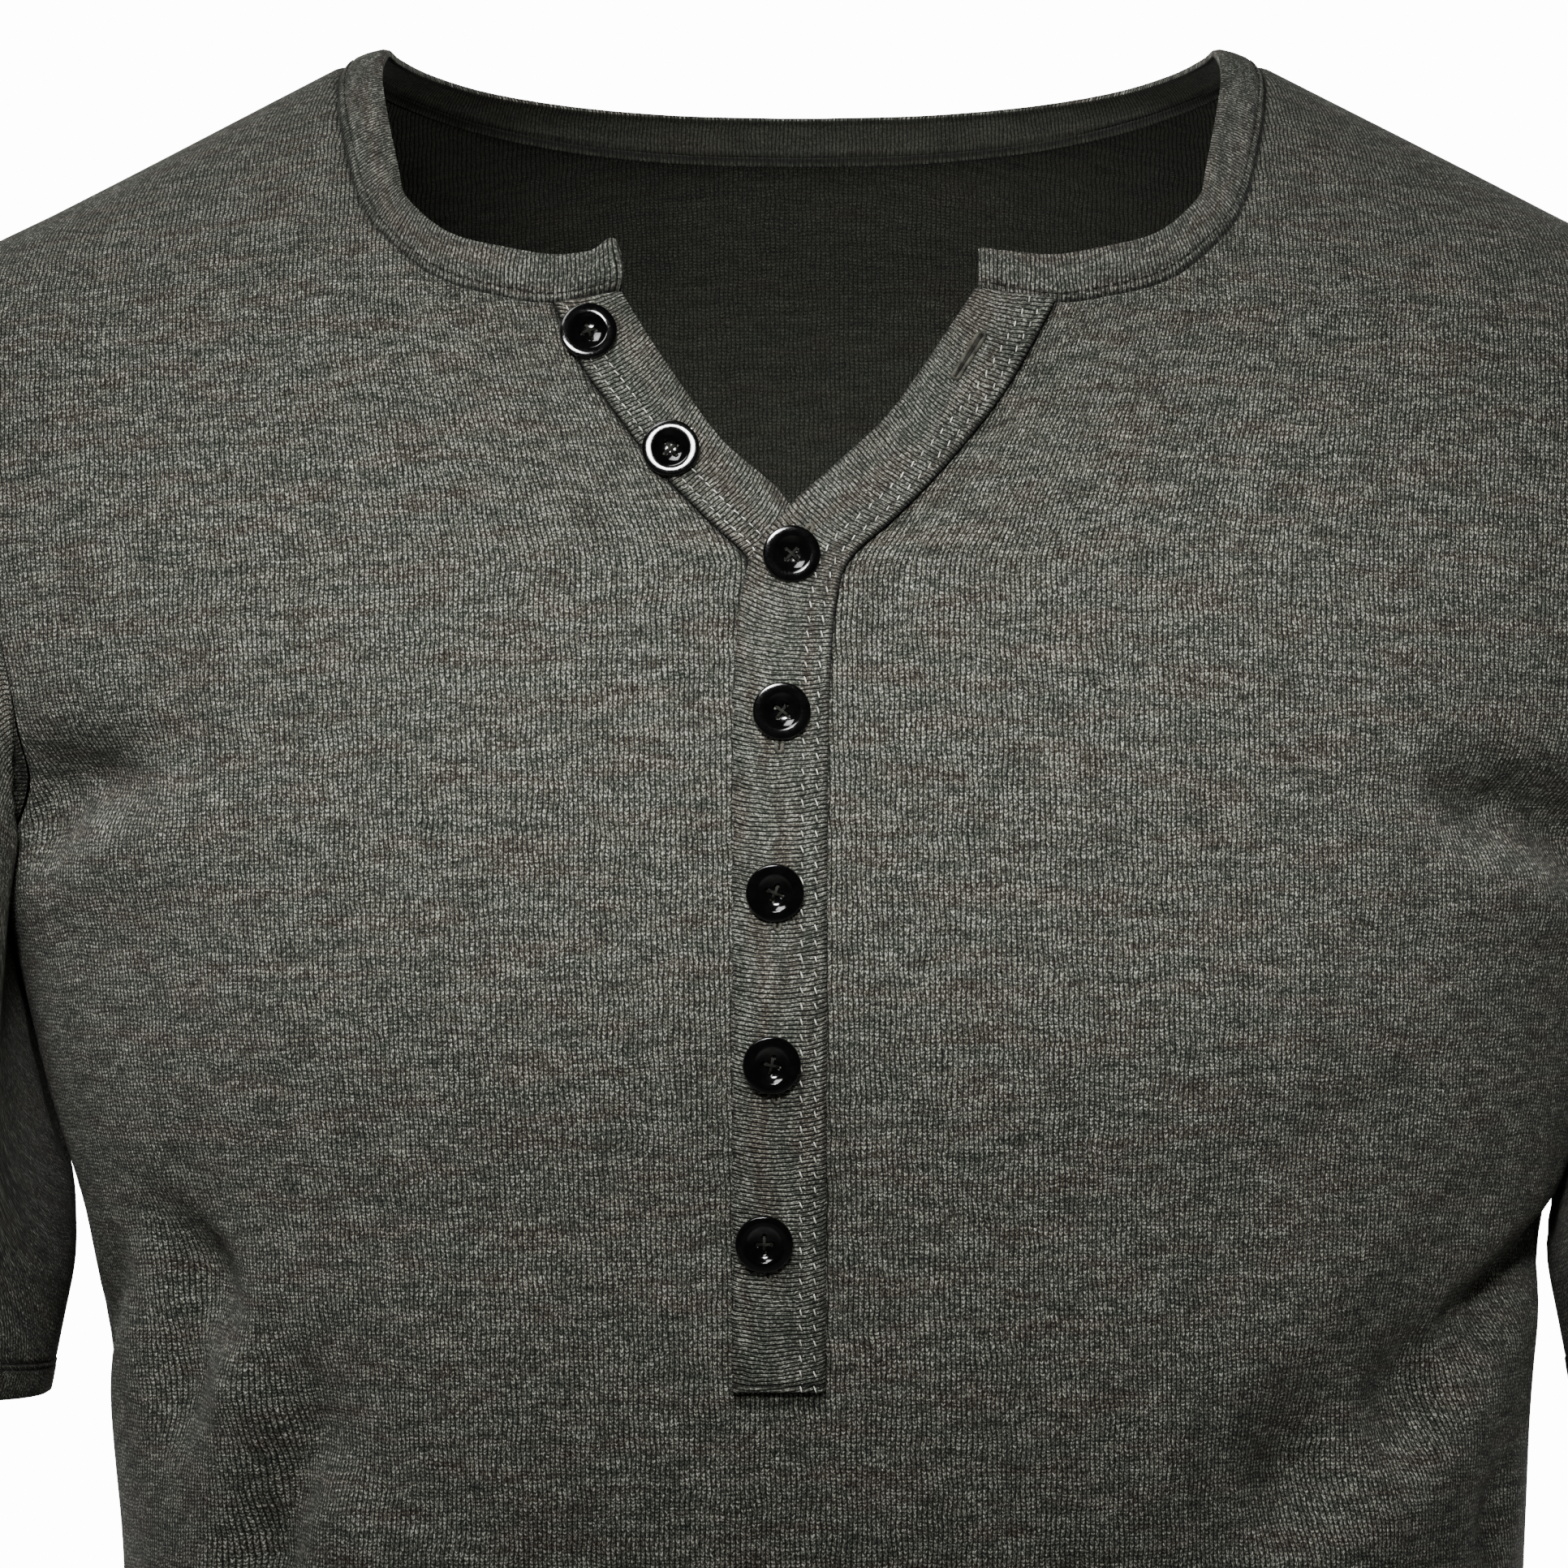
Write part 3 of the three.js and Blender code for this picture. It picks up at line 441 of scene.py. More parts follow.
def knitMaterial(name, look):
    # cotton melange, spun from dark and light fibres and knitted: rows of small v loops,
    # flecks of light fibre and a matt, slightly downy face
    material, tree = newMaterial(name)
    uvMap = addNode(tree, "ShaderNodeUVMap", {"uv_map": "cloth"})
    drift = addNode(tree, "ShaderNodeTexNoise", {"noise_dimensions": "2D"},
                    {"Vector": uvMap, "Scale": 0.09, "Detail": 2.0})
    driftVector = addNode(tree, "ShaderNodeVectorMath", {"operation": "MULTIPLY_ADD"},
                          {0: drift.outputs["Color"], 1: (1.6, 2.4, 0), 2: uvMap})
    jitter = addNode(tree, "ShaderNodeTexNoise", {"noise_dimensions": "2D"},
                     {"Vector": uvMap, "Scale": 0.9, "Detail": 1.0})
    place = addNode(tree, "ShaderNodeVectorMath", {"operation": "MULTIPLY_ADD"},
                    {0: jitter.outputs["Color"], 1: (look["waver"], 0.7, 0), 2: driftVector})
    split = addNode(tree, "ShaderNodeSeparateXYZ", None, {0: place})
    wale = addNode(tree, "ShaderNodeMath", {"operation": "DIVIDE"}, {0: split.outputs[0], 1: look["waleSpacing"]})
    inWale = addNode(tree, "ShaderNodeMath", {"operation": "FRACT"}, {0: wale})
    centred = addNode(tree, "ShaderNodeMath", {"operation": "SUBTRACT"}, {0: inWale, 1: 0.5})
    offCentre = addNode(tree, "ShaderNodeMath", {"operation": "ABSOLUTE"}, {0: centred})
    ridge = addNode(tree, "ShaderNodeMapRange", {"interpolation_type": "SMOOTHSTEP"},
                    {"Value": offCentre, "From Min": 0.49, "From Max": 0.14, "To Min": 0.0, "To Max": 1.0})
    notch = addNode(tree, "ShaderNodeMapRange", {"interpolation_type": "SMOOTHSTEP"},
                    {"Value": offCentre, "From Min": 0.0, "From Max": 0.14, "To Min": 0.6, "To Max": 1.0})
    course = addNode(tree, "ShaderNodeMath", {"operation": "DIVIDE"},
                     {0: split.outputs[1], 1: look["courseSpacing"]})
    lean = addNode(tree, "ShaderNodeMath", {"operation": "MULTIPLY_ADD"},
                   {0: offCentre, 1: -2 * look["chevron"], 2: course})
    loop = addNode(tree, "ShaderNodeMath", {"operation": "PINGPONG"}, {0: lean, 1: 0.5})
    strand = addNode(tree, "ShaderNodeMapRange", {"interpolation_type": "SMOOTHSTEP"},
                     {"Value": loop, "From Min": 0.02, "From Max": 0.4, "To Min": 1 - 2.5 * look["groove"], "To Max": 1.0})
    leg = addNode(tree, "ShaderNodeMath", {"operation": "MULTIPLY"}, {0: ridge, 1: strand})
    height = addNode(tree, "ShaderNodeMath", {"operation": "MULTIPLY"}, {0: leg, 1: notch})
    # each loop leg takes its own share of light fibre; finer flecks run within it
    legCount = addNode(tree, "ShaderNodeMath", {"operation": "MULTIPLY"}, {0: wale, 1: 2.0})
    legIndex = addNode(tree, "ShaderNodeMath", {"operation": "FLOOR"}, {0: legCount})
    loopIndex = addNode(tree, "ShaderNodeMath", {"operation": "FLOOR"}, {0: lean})
    cell = addNode(tree, "ShaderNodeCombineXYZ", None, {0: legIndex, 1: loopIndex})
    share = addNode(tree, "ShaderNodeTexWhiteNoise", {"noise_dimensions": "2D"}, {"Vector": cell})
    fleck = addNode(tree, "ShaderNodeTexNoise", {"noise_dimensions": "2D"},
                    {"Vector": place, "Scale": 1.7, "Detail": 3.0, "Roughness": 0.7})
    streak = addNode(tree, "ShaderNodeVectorMath", {"operation": "MULTIPLY"}, {0: place, 1: (0.09, 0.42, 1)})
    patch = addNode(tree, "ShaderNodeTexNoise", {"noise_dimensions": "2D"},
                    {"Vector": streak, "Scale": 1.0, "Detail": 1.5, "Roughness": 0.6})
    withPatch = addNode(tree, "ShaderNodeMath", {"operation": "MULTIPLY_ADD"}, {0: patch, 1: 0.24, 2: fleck})
    shade = addNode(tree, "ShaderNodeMath", {"operation": "MULTIPLY_ADD"}, {0: share, 1: look["mixed"], 2: withPatch})
    fibre = addNode(tree, "ShaderNodeValToRGB", None, {0: shade})
    ramp = fibre.color_ramp
    ramp.elements[0].position, ramp.elements[0].color = 0.5, linear(look["dark"])
    ramp.elements[1].position, ramp.elements[1].color = 0.98, linear(look["light"])
    ramp.elements.new(0.70).color = linear(look["middle"])
    tint = addNode(tree, "ShaderNodeTexNoise", {"noise_dimensions": "2D"},
                   {"Vector": streak, "Scale": 0.4, "Detail": 2.0})
    tintRamp = addNode(tree, "ShaderNodeValToRGB", None, {0: tint})
    tones = tintRamp.color_ramp
    tones.elements[0].position, tones.elements[0].color = 0.36, linear(look["cool"])
    tones.elements[1].position, tones.elements[1].color = 0.66, linear(look["warm"])
    tones.elements.new(0.5).color = linear(look["middle"])
    tinted = addNode(tree, "ShaderNodeMix", {"data_type": "RGBA", "blend_type": "MIX"},
                     {0: 0.26, 6: fibre, 7: tintRamp})
    # painted shade and light: the colour is darkened in the grooves between the loops and lightened a little on the
    # loop tops
    grooveShade = addNode(tree, "ShaderNodeMapRange", None,
                     {"Value": height, "From Min": 0.0, "From Max": 0.75, "To Min": look["deep"], "To Max": 1.2})
    # painted shade: a mask on the mesh darkens the colour along seams, stitch lines and grooves
    seam = addNode(tree, "ShaderNodeAttribute", {"attribute_name": "paintedSeamShade"})
    seamShadeFactor = addNode(tree, "ShaderNodeMath", {"operation": "MULTIPLY_ADD"}, {0: seam.outputs["Fac"], 1: -0.85, 2: 1.0})
    lit = addNode(tree, "ShaderNodeMath", {"operation": "MULTIPLY"}, {0: grooveShade, 1: seamShadeFactor})
    colour = addNode(tree, "ShaderNodeVectorMath", {"operation": "SCALE"}, {0: tinted.outputs[2], "Scale": lit})
    bump = addNode(tree, "ShaderNodeBump", None,
                   {"Height": height, "Strength": 0.8, "Distance": look["relief"] / 1000})
    shader = addNode(tree, "ShaderNodeBsdfPrincipled", None,
                     {"Base Color": colour, "Roughness": 0.95, "Specular IOR Level": 0.12,
                      "Sheen Weight": 0.04, "Sheen Roughness": 0.6, "Normal": bump})
    addNode(tree, "ShaderNodeOutputMaterial", None, {"Surface": shader})
    return material


threadLook = {"dark": "#908f84", "light": "#e4e3d8", "twist": 0.32, "shine": 0.3}


def threadMaterial(name, look):
    # spun polyester sewing thread: two plies twisted together, a soft sheen
    material, tree = newMaterial(name)
    spot = addNode(tree, "ShaderNodeTexCoord")
    turns = addNode(tree, "ShaderNodeTexWave", {"wave_type": "BANDS", "bands_direction": "DIAGONAL"},
                    {"Vector": spot.outputs["Object"], "Scale": 0.5 / look["twist"] * 1000 / 20, "Distortion": 1.5})
    speck = addNode(tree, "ShaderNodeTexNoise", None,
                    {"Vector": spot.outputs["Object"], "Scale": 900.0, "Detail": 2.0})
    blend = addNode(tree, "ShaderNodeMath", {"operation": "MULTIPLY_ADD"}, {0: turns.outputs[1], 1: 0.35, 2: speck})
    ramp = addNode(tree, "ShaderNodeValToRGB", None, {0: blend})
    ramp.color_ramp.elements[0].position, ramp.color_ramp.elements[0].color = 0.35, linear(look["dark"])
    ramp.color_ramp.elements[1].position, ramp.color_ramp.elements[1].color = 0.85, linear(look["light"])
    bump = addNode(tree, "ShaderNodeBump", None, {"Height": turns.outputs[1], "Strength": 0.5, "Distance": 0.00006})
    shader = addNode(tree, "ShaderNodeBsdfPrincipled", None,
                     {"Base Color": ramp, "Roughness": 0.75, "Specular IOR Level": look["shine"], "Normal": bump})
    addNode(tree, "ShaderNodeOutputMaterial", None, {"Surface": shader})
    return material


buttonLook = {"radius": 7.1, "thickness": 2.3, "hole": 0.65, "holeOff": 1.25, "black": "#020202", "haze": "#070707"}


def buttonMaterial(name, look):
    # polyester, cast in rods, turned and tumbled: deep black with a wet gloss and a few fine rubs
    material, tree = newMaterial(name)
    spot = addNode(tree, "ShaderNodeTexCoord")
    cloud = addNode(tree, "ShaderNodeTexNoise", None,
                    {"Vector": spot.outputs["Object"], "Scale": 420.0, "Detail": 4.0})
    ramp = addNode(tree, "ShaderNodeValToRGB", None, {0: cloud})
    ramp.color_ramp.elements[0].position, ramp.color_ramp.elements[0].color = 0.4, linear(look["black"])
    ramp.color_ramp.elements[1].position, ramp.color_ramp.elements[1].color = 0.8, linear(look["haze"])
    rub = addNode(tree, "ShaderNodeTexNoise", None,
                  {"Vector": spot.outputs["Object"], "Scale": 2600.0, "Detail": 2.0})
    rough = addNode(tree, "ShaderNodeMapRange", None,
                    {"Value": rub, "From Min": 0.3, "From Max": 0.8, "To Min": 0.05, "To Max": 0.13})
    bump = addNode(tree, "ShaderNodeBump", None, {"Height": rub, "Strength": 0.1, "Distance": 0.00004})
    shader = addNode(tree, "ShaderNodeBsdfPrincipled", None,
                     {"Base Color": ramp, "Roughness": rough, "IOR": 1.46, "Normal": bump})
    addNode(tree, "ShaderNodeOutputMaterial", None, {"Surface": shader})
    return material


def plainMaterial(name, code, rough):
    material, tree = newMaterial(name)
    spot = addNode(tree, "ShaderNodeTexCoord")
    grain = addNode(tree, "ShaderNodeTexNoise", None, {"Vector": spot.outputs["Object"], "Scale": 40.0, "Detail": 3.0})
    bump = addNode(tree, "ShaderNodeBump", None, {"Height": grain, "Strength": 0.02, "Distance": 0.001})
    shader = addNode(tree, "ShaderNodeBsdfPrincipled", None,
                     {"Base Color": linear(code), "Roughness": rough, "Normal": bump})
    addNode(tree, "ShaderNodeOutputMaterial", None, {"Surface": shader})
    return material


# the second material of each pair is the darker reverse, painted shade for the inner faces
jersey = (knitMaterial("melange cotton jersey, knitted", jerseyLook),
          knitMaterial("melange cotton jersey, its reverse in painted shade", {**jerseyLook, **shadedReverseLook}))
rib = (knitMaterial("melange cotton rib, knitted", ribLook),
       knitMaterial("melange cotton rib, its reverse in painted shade", {**ribLook, **shadedReverseLook}))
thread = threadMaterial("polyester sewing thread, twisted", threadLook)
darkThread = threadMaterial("polyester sewing thread, dark", {"dark": "#090908", "light": "#2a2a26", "twist": 0.32, "shine": 0.1})
holeThread = threadMaterial("buttonhole thread, melange grey", {"dark": "#0d0d0b", "light": "#55544c", "twist": 0.32, "shine": 0.1})
blackResin = buttonMaterial("black polyester resin, turned and tumbled", buttonLook)
print("materials made")


def dress(piece, material, slot, *nodes):
    for one in material if isinstance(material, tuple) else (material,):
        piece.data.materials.append(one)
    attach(piece, "root")
    if nodes:
        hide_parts(*nodes)
    return piece


# ---- body panels ----
panelLook = {"wall": 1.3, "hemWall": 2.4, "hemDepth": 20, "seamDip": 0.8, "seamWidth": 1.7, "columns": 66}


def zoneRows(counts):
    rows = []
    for zone, count in enumerate(counts):
        rows += [(zone, k / count) for k in range(0 if zone == 0 else 1, count + 1)]
    last = rows.pop()
    return rows + [(last[0], u) for u in (0.975, 0.985, 0.991, 0.9955, 0.9985)] + [last]


def edgeSteps(count):
    # even steps with a few narrow ones at both ends, for the dip at the seams
    near = [0, 0.0022, 0.005, 0.009, 0.015, 0.024]
    middle = list(np.linspace(0.036, 0.964, count))
    return np.array(near + middle + [1 - v for v in reversed(near)])


hemStep = [hemHeight, hemHeight + panelLook["hemDepth"], hemHeight + panelLook["hemDepth"] + 2]


def outerEdge(zone, u, reach, turns):
    if zone < 2:
        return 0, mix(hemStep[zone], hemStep[zone + 1], u)
    if zone == 2:
        return 0, mix(hemStep[2], -325, u)
    if zone == 3:
        return 0, mix(-325, underarmHeight, u)
    side, height = armhole(mix(turns[zone - 4], turns[zone - 3], u), reach)
    return float(side), float(height)


def frontInner(zone, u, side):
    column = 1 if side < 0 else 2
    if zone == 6:
        row = readTable(frontNeckRows, mix(1, 8, u))
        return side * row[1] + readTable(torsoRows, row[2])[4], row[2]
    ends = [hemStep[0], hemStep[1], hemStep[2], slotBottom, -200, -103, -38.3]
    height = mix(ends[zone], ends[zone + 1], u)
    return readTable(slotRows, height)[column], height


def backInner(zone, u, outerHeight):
    if zone == 6:
        row = readTable(backNeckRows, mix(0, 5, u))
        return row[1], row[2]
    if zone == 4:
        return 6.0, mix(underarmHeight, -100, u)
    if zone == 5:
        return 6.0, mix(-100, 9.6, u)
    return 6.0, outerHeight


def seamShape(points, heights, zones, back):
    # dips to both edges, and the two grooves of the hem, with a mask of painted shade along them
    length = np.linalg.norm(np.diff(points, axis=1), axis=-1)
    fromInner = np.concatenate([np.zeros((len(points), 1)), np.cumsum(length, axis=1)], axis=1)
    fromOuter = fromInner[:, -1:] - fromInner
    wide = panelLook["seamWidth"]
    cut = zones > 5 if back else (heights > slotBottom) * (0.45 + 0.55 * np.clip((heights + 128) / 14, 0, 1))
    sewn = 0.1 + 0.9 * np.clip((-172 - heights) / 16, 0, 1)
    dip = sewn * np.exp(-(fromOuter / wide) ** 2) + np.exp(-(fromInner / wide) ** 2) * cut
    up = heights - hemHeight
    turnUp = 0.35 * np.clip((panelLook["hemDepth"] - up) / 1.2, 0, 1)
    groove = np.exp(-((up - 16) / 0.8) ** 2) + np.exp(-((up - 19.2) / 0.8) ** 2)
    lower = 0.7 * np.exp(-(up / 1.0) ** 2)
    toRidge = np.linalg.norm(points - points[-1:], axis=-1)
    dip = dip + 0.6 * np.exp(-(toRidge / 1.4) ** 2)
    # painted shade: the colour is darkened along the shoulder ridge, both seams and the hem grooves
    paintedSeamShade = 0.35 * np.exp(-(toRidge / 0.8) ** 2) + np.exp(-(fromOuter / 0.9) ** 2) * 0.5 * sewn + np.exp(-(fromInner / 0.9) ** 2) * cut + 0.4 * groove
    return turnUp - 0.4 * groove - lower - panelLook["seamDip"] * dip, np.clip(paintedSeamShade, 0, 1)


def panelHalf(rows, side, back):
    steps = edgeSteps(panelLook["columns"])
    reach, turns = (backReach, (180, 112, 40, 0)) if back else (frontReach, (180, 112, 58, 0))
    angles, heights = [], []
    for zone, u in rows:
        outerSide, outerHeight = outerEdge(zone, u, reach, turns)
        if back:
            x, height = backInner(zone, u, outerHeight)
            x = side * x + readTable(torsoRows, height)[4]
        else:
            x, height = frontInner(zone, u, side)
        ridge = zone == 6 and u == 1
        inner = 90.0 * side if ridge else float(angleAt(x, height))
        if back:
            inner = side * 180 - inner
            outer = side * (90 + outerSide)
        else:
            outer = side * (90 - outerSide)
        at = mix(height, outerHeight, steps)
        angle = mix(inner, outer, steps)
        row = readTable(torsoRows, at)
        gap = 0.15 * 57.3 / np.minimum(row[:, 1], row[:, 2])
        angle = np.maximum(side * angle, 90 + gap) if back else np.minimum(side * angle, 90 - gap)
        # the left seam lies a little further back than the right one, so no one sees through both
        further = 3 * gap * np.clip((10 - np.abs(angle - 90)) / 8, 0, 1) if side > 0 else 0
        angle = side * (angle + further)
        angles.append(angle)
        heights.append(at)
    angles, heights = np.array(angles), np.array(heights)
    points, normal = bodyPoint(angles, heights)
    # the deep creases run out before the armhole, where the sleeve is sewn on
    length = np.linalg.norm(np.diff(points, axis=1), axis=-1)
    toSeam = np.concatenate([np.cumsum(length[:, ::-1], axis=1)[:, ::-1], np.zeros((len(points), 1))], axis=1)
    plain = bodyPoint(angles, heights, fine=False)[0]
    keep = np.clip((toSeam - 0.5) / 9, 0, 1)
    keep = np.where(heights > underarmHeight - 12, keep * keep * (3 - 2 * keep), 1)[..., None]
    points = plain + (points - plain) * keep
    zones = np.array([zone for zone, u in rows])[:, None]
    lift, paintedSeamShade = seamShape(points, heights, zones, back)
    points = points + normal * lift[..., None]
    places = clothPlace(angles, heights, back)
    if not back:
        # near the open placket the wales lean with its edge
        edge = readTable(slotRows, np.clip(heights, slotBottom, -38.3))[..., 1 if side < 0 else 2]
        closed = -17.5 if side < 0 else 4.0
        lean = (0.4 if side < 0 else 0.55) * np.exp(-np.abs(points[..., 0] - edge) / 55)
        places[..., 0] -= lean * (edge - closed) * np.clip((heights + 135) / 30, 0, 1)
    return points, normal, places, heights, paintedSeamShade


def panel(name, counts, back, slotZone):
    rows = zoneRows(counts)
    first = panelHalf(rows, 1 if back else -1, back)
    second = panelHalf(rows, -1 if back else 1, back)
    outer, normal, uv, heights, paintedSeamShade = (np.concatenate([a[:, ::-1], b], axis=1) for a, b in zip(first, second))
    count = first[0].shape[1]
    slotRow = rows.index((slotZone, 1.0))
    hole = np.zeros((len(rows) - 1, 2 * count - 1), bool)
    hole[slotRow:, count - 1] = True
    wall = np.where(heights < hemStep[1] + 0.5, panelLook["hemWall"], panelLook["wall"])
    made = wallMesh(name, outer, normal, wall, uv, paintedSeamShade, hole)
    return made, outer, normal, heights


frontCounts = [14, 2, 62, 28, 26, 20, 26]
backCounts = [14, 2, 58, 26, 22, 28, 20]
front, frontOuter, frontNormal, frontHeights = panel("cloth_front", frontCounts, False, 2)
dress(front, jersey, "jersey", "front")
back, backOuter, backNormal, backHeights = panel("cloth_back", backCounts, True, 5)
dress(back, jersey, "jersey", "back")
print("panels made")

# ---- sleeves ----
cuff = {"x": 255, "y": 3, "height": -312, "halfWidth": 57, "halfDepth": 64, "wall": 1.3, "hemWall": 2.4}
leaveRows = np.array([
    [0, 175, 0, -62], [45, 150, 4, -88], [90, 92, 10, -118], [135, 20, 12, -132], [180, -64, 0, -125],
    [225, 20, -12, -132], [270, 92, -10, -118], [315, 150, -4, -88], [360, 175, 0, -62]])


def sleevePoint(side, turn, u):
    turn, u = np.broadcast_arrays(np.asarray(turn, float), np.asarray(u, float))
    isFront = turn <= 180
    edgeSide, edgeHeight = armhole(np.where(isFront, turn, 360 - turn), np.where(isFront, frontReach, backReach))
    angle = side * np.where(isFront, 90 - edgeSide, 90 + edgeSide)
    start, normal = bodyPoint(angle, edgeHeight, fine=False)
    leave = readTable(leaveRows, turn)[..., 1:] * np.array([side, 1, 1])
    under = np.clip((180 - np.abs(turn - 180) - 95) / 65, 0, 1)
    under = (under * under * (3 - 2 * under))[..., None]
    away = mix(leave / np.linalg.norm(leave, axis=-1, keepdims=True), normal, under)
    start = start + 0.2 * away / np.linalg.norm(away, axis=-1, keepdims=True)
    cos, sin = np.cos(np.radians(turn)), np.sin(np.radians(turn))
    end = np.stack([side * (cuff["x"] + cuff["halfWidth"] * cos), cuff["y"] - cuff["halfDepth"] * sin,
                    cuff["height"] + 4 * cos], -1)
    length = np.linalg.norm(end - start, axis=-1, keepdims=True)
    arrive = np.array([side * 0.22, 0, -0.97]) * length
    u = u[..., None]
    uu, uuu = u * u, u * u * u
    return (start * (2 * uuu - 3 * uu + 1) + leave * (uuu - 2 * uu + u)
            + end * (3 * uu - 2 * uuu) + arrive * (uuu - uu))


def sleeveSurface(side, turn, u):
    point = sleevePoint(side, turn, u)
    around = sleevePoint(side, turn + 1, u) - sleevePoint(side, np.maximum(turn - 1, 0), u)
    along = sleevePoint(side, turn, np.minimum(u + 0.02, 1)) - sleevePoint(side, turn, np.maximum(u - 0.02, 0))
    normal = -side * np.cross(along, around)
    normal /= np.linalg.norm(normal, axis=-1, keepdims=True)
    fade = np.sin(np.pi * np.minimum(u * 2.5, 0.5)) * np.minimum((1 - u) * 6, 1)
    lift = foldDepth(sleeveFolds, turn, u, 1.2, 230) * fade + 0.5 * fade * ripple(turn * 1.2 + 40, u * 260)
    toHem = (1 - u) * 262
    lift = lift - 0.4 * (np.exp(-((toHem - 16) / 0.8) ** 2) + np.exp(-((toHem - 19.2) / 0.8) ** 2))
    lift = lift + 0.35 * np.clip((19 - toHem) / 1.2, 0, 1) - 0.7 * np.exp(-(toHem / 1.0) ** 2)
    sewn = 0.15 + 0.85 * np.clip((95 - np.abs(turn - 180)) / 30, 0, 1)
    lift = lift - 0.6 * sewn * np.exp(-((u * 262) / 2.0) ** 2)
    point = point + normal * lift[..., None]
    row = readTable(torsoRows, point[..., 2])
    depth = np.where(point[..., 1] < 0, row[..., 2], row[..., 3])
    part = np.minimum(np.abs(point[..., 1]) / depth, 1)
    reach = row[..., 1] * (1 - part ** squareness) ** (1 / squareness) + 1.6 * np.clip(u / 0.12, 0, 1)
    facing = (u > 0) & (turn > 90) & (turn < 270)
    off = side * (point[..., 0] - row[..., 4])
    point[..., 0] = row[..., 4] + side * np.where(facing, np.maximum(off, reach), off)
    return point


def sleeve(name, side):
    turns = np.mod(np.linspace(180, 540, 113)[:-1], 360)
    steps = np.concatenate([[0, 0.004, 0.009, 0.016], np.linspace(0.026, 0.915, 58), np.linspace(0.92, 0.994, 20), [0.997, 1]])
    turnGrid, stepGrid = np.meshgrid(turns, steps)
    outer = sleeveSurface(side, turnGrid, stepGrid)
    whole = np.concatenate([outer, outer[:, :1]], axis=1)
    around = np.zeros(whole.shape[:2])
    around[:, 1:] = np.cumsum(np.linalg.norm(np.diff(whole, axis=1), axis=-1), axis=1)
    along = np.zeros(whole.shape[:2])
    along[1:] = np.cumsum(np.linalg.norm(np.diff(whole, axis=0), axis=-1), axis=0)
    uv = np.stack([around, -along], -1)
    if side < 0:
        outer, uv = np.roll(outer[:, ::-1], 1, axis=1), uv[:, ::-1]
    normal = gridNormals(outer, wrap=True)
    wall = np.where(stepGrid > 0.925, cuff["hemWall"], cuff["wall"])
    toHem = (1 - stepGrid) * 262
    # painted shade: the colour is darkened along the two hem grooves and the armhole seam
    paintedSeamShade = 0.4 * (np.exp(-((toHem - 16) / 0.8) ** 2) + np.exp(-((toHem - 19.2) / 0.8) ** 2)) 
    paintedSeamShade = paintedSeamShade + 0.4 * np.clip((95 - np.abs(turnGrid - 180)) / 30, 0, 1) * np.exp(-((stepGrid * 262) / 0.9) ** 2)
    if side < 0:
        paintedSeamShade = np.roll(paintedSeamShade[:, ::-1], 1, axis=1)
    made = wallMesh(name, outer, normal, wall, uv, paintedSeamShade, wrap=True)
    return made, outer, normal, steps


rightSleeve, rightOuter, rightNormal, sleeveSteps = sleeve("cloth_sleeve_right", -1)
dress(rightSleeve, jersey, "jersey", "sleeve_right")
leftSleeve, leftOuter, leftNormal, sleeveSteps = sleeve("cloth_sleeve_left", 1)
dress(leftSleeve, jersey, "jersey", "sleeve_left")
print("sleeves made")

# ---- neckband ----
bandLook = {"bulge": 0.7, "stitchUp": 2.9, "corner": 2.3}


def bandStations(perStep):
    feet, rises, leans = [], [], []

    def station(rows, step, side, isBack):
        row = readTable(rows, step)
        x = row[1] - (leftEndLonger * max(0, 1 - step) if side > 0 and not isBack else 0)
        middle = readTable(torsoRows, row[2])[4]
        if row[2] >= neckHeight - 0.01:
            angle = 90.0 * side
        else:
            angle = float(angleAt(middle + side * x, row[2]))
            if isBack:
                angle = side * 180 - angle
        feet.append(bodyPoint(np.array(angle), row[2], fine=False)[0])
        rises.append(row[3])
        leans.append(row[4])

    frontSteps = np.concatenate([np.linspace(0, 0.7, 26), np.linspace(0.7, 8, 8 * perStep)[1:]])
    backSteps = np.linspace(5, 0, 5 * perStep + 1)
    for step in frontSteps:
        station(frontNeckRows, step, -1, False)
    for step in backSteps[1:]:
        station(backNeckRows, step, -1, True)
    for step in backSteps[::-1][:-1]:
        station(backNeckRows, step, 1, True)
    for step in frontSteps[::-1]:
        station(frontNeckRows, step, 1, False)
    return np.array(feet), np.array(rises), np.array(leans)


def smoothAlong(values, times):
    for step in range(times):
        values = np.concatenate([values[:1], (values[:-2] + 2 * values[1:-1] + values[2:]) / 4, values[-1:]])
    return values


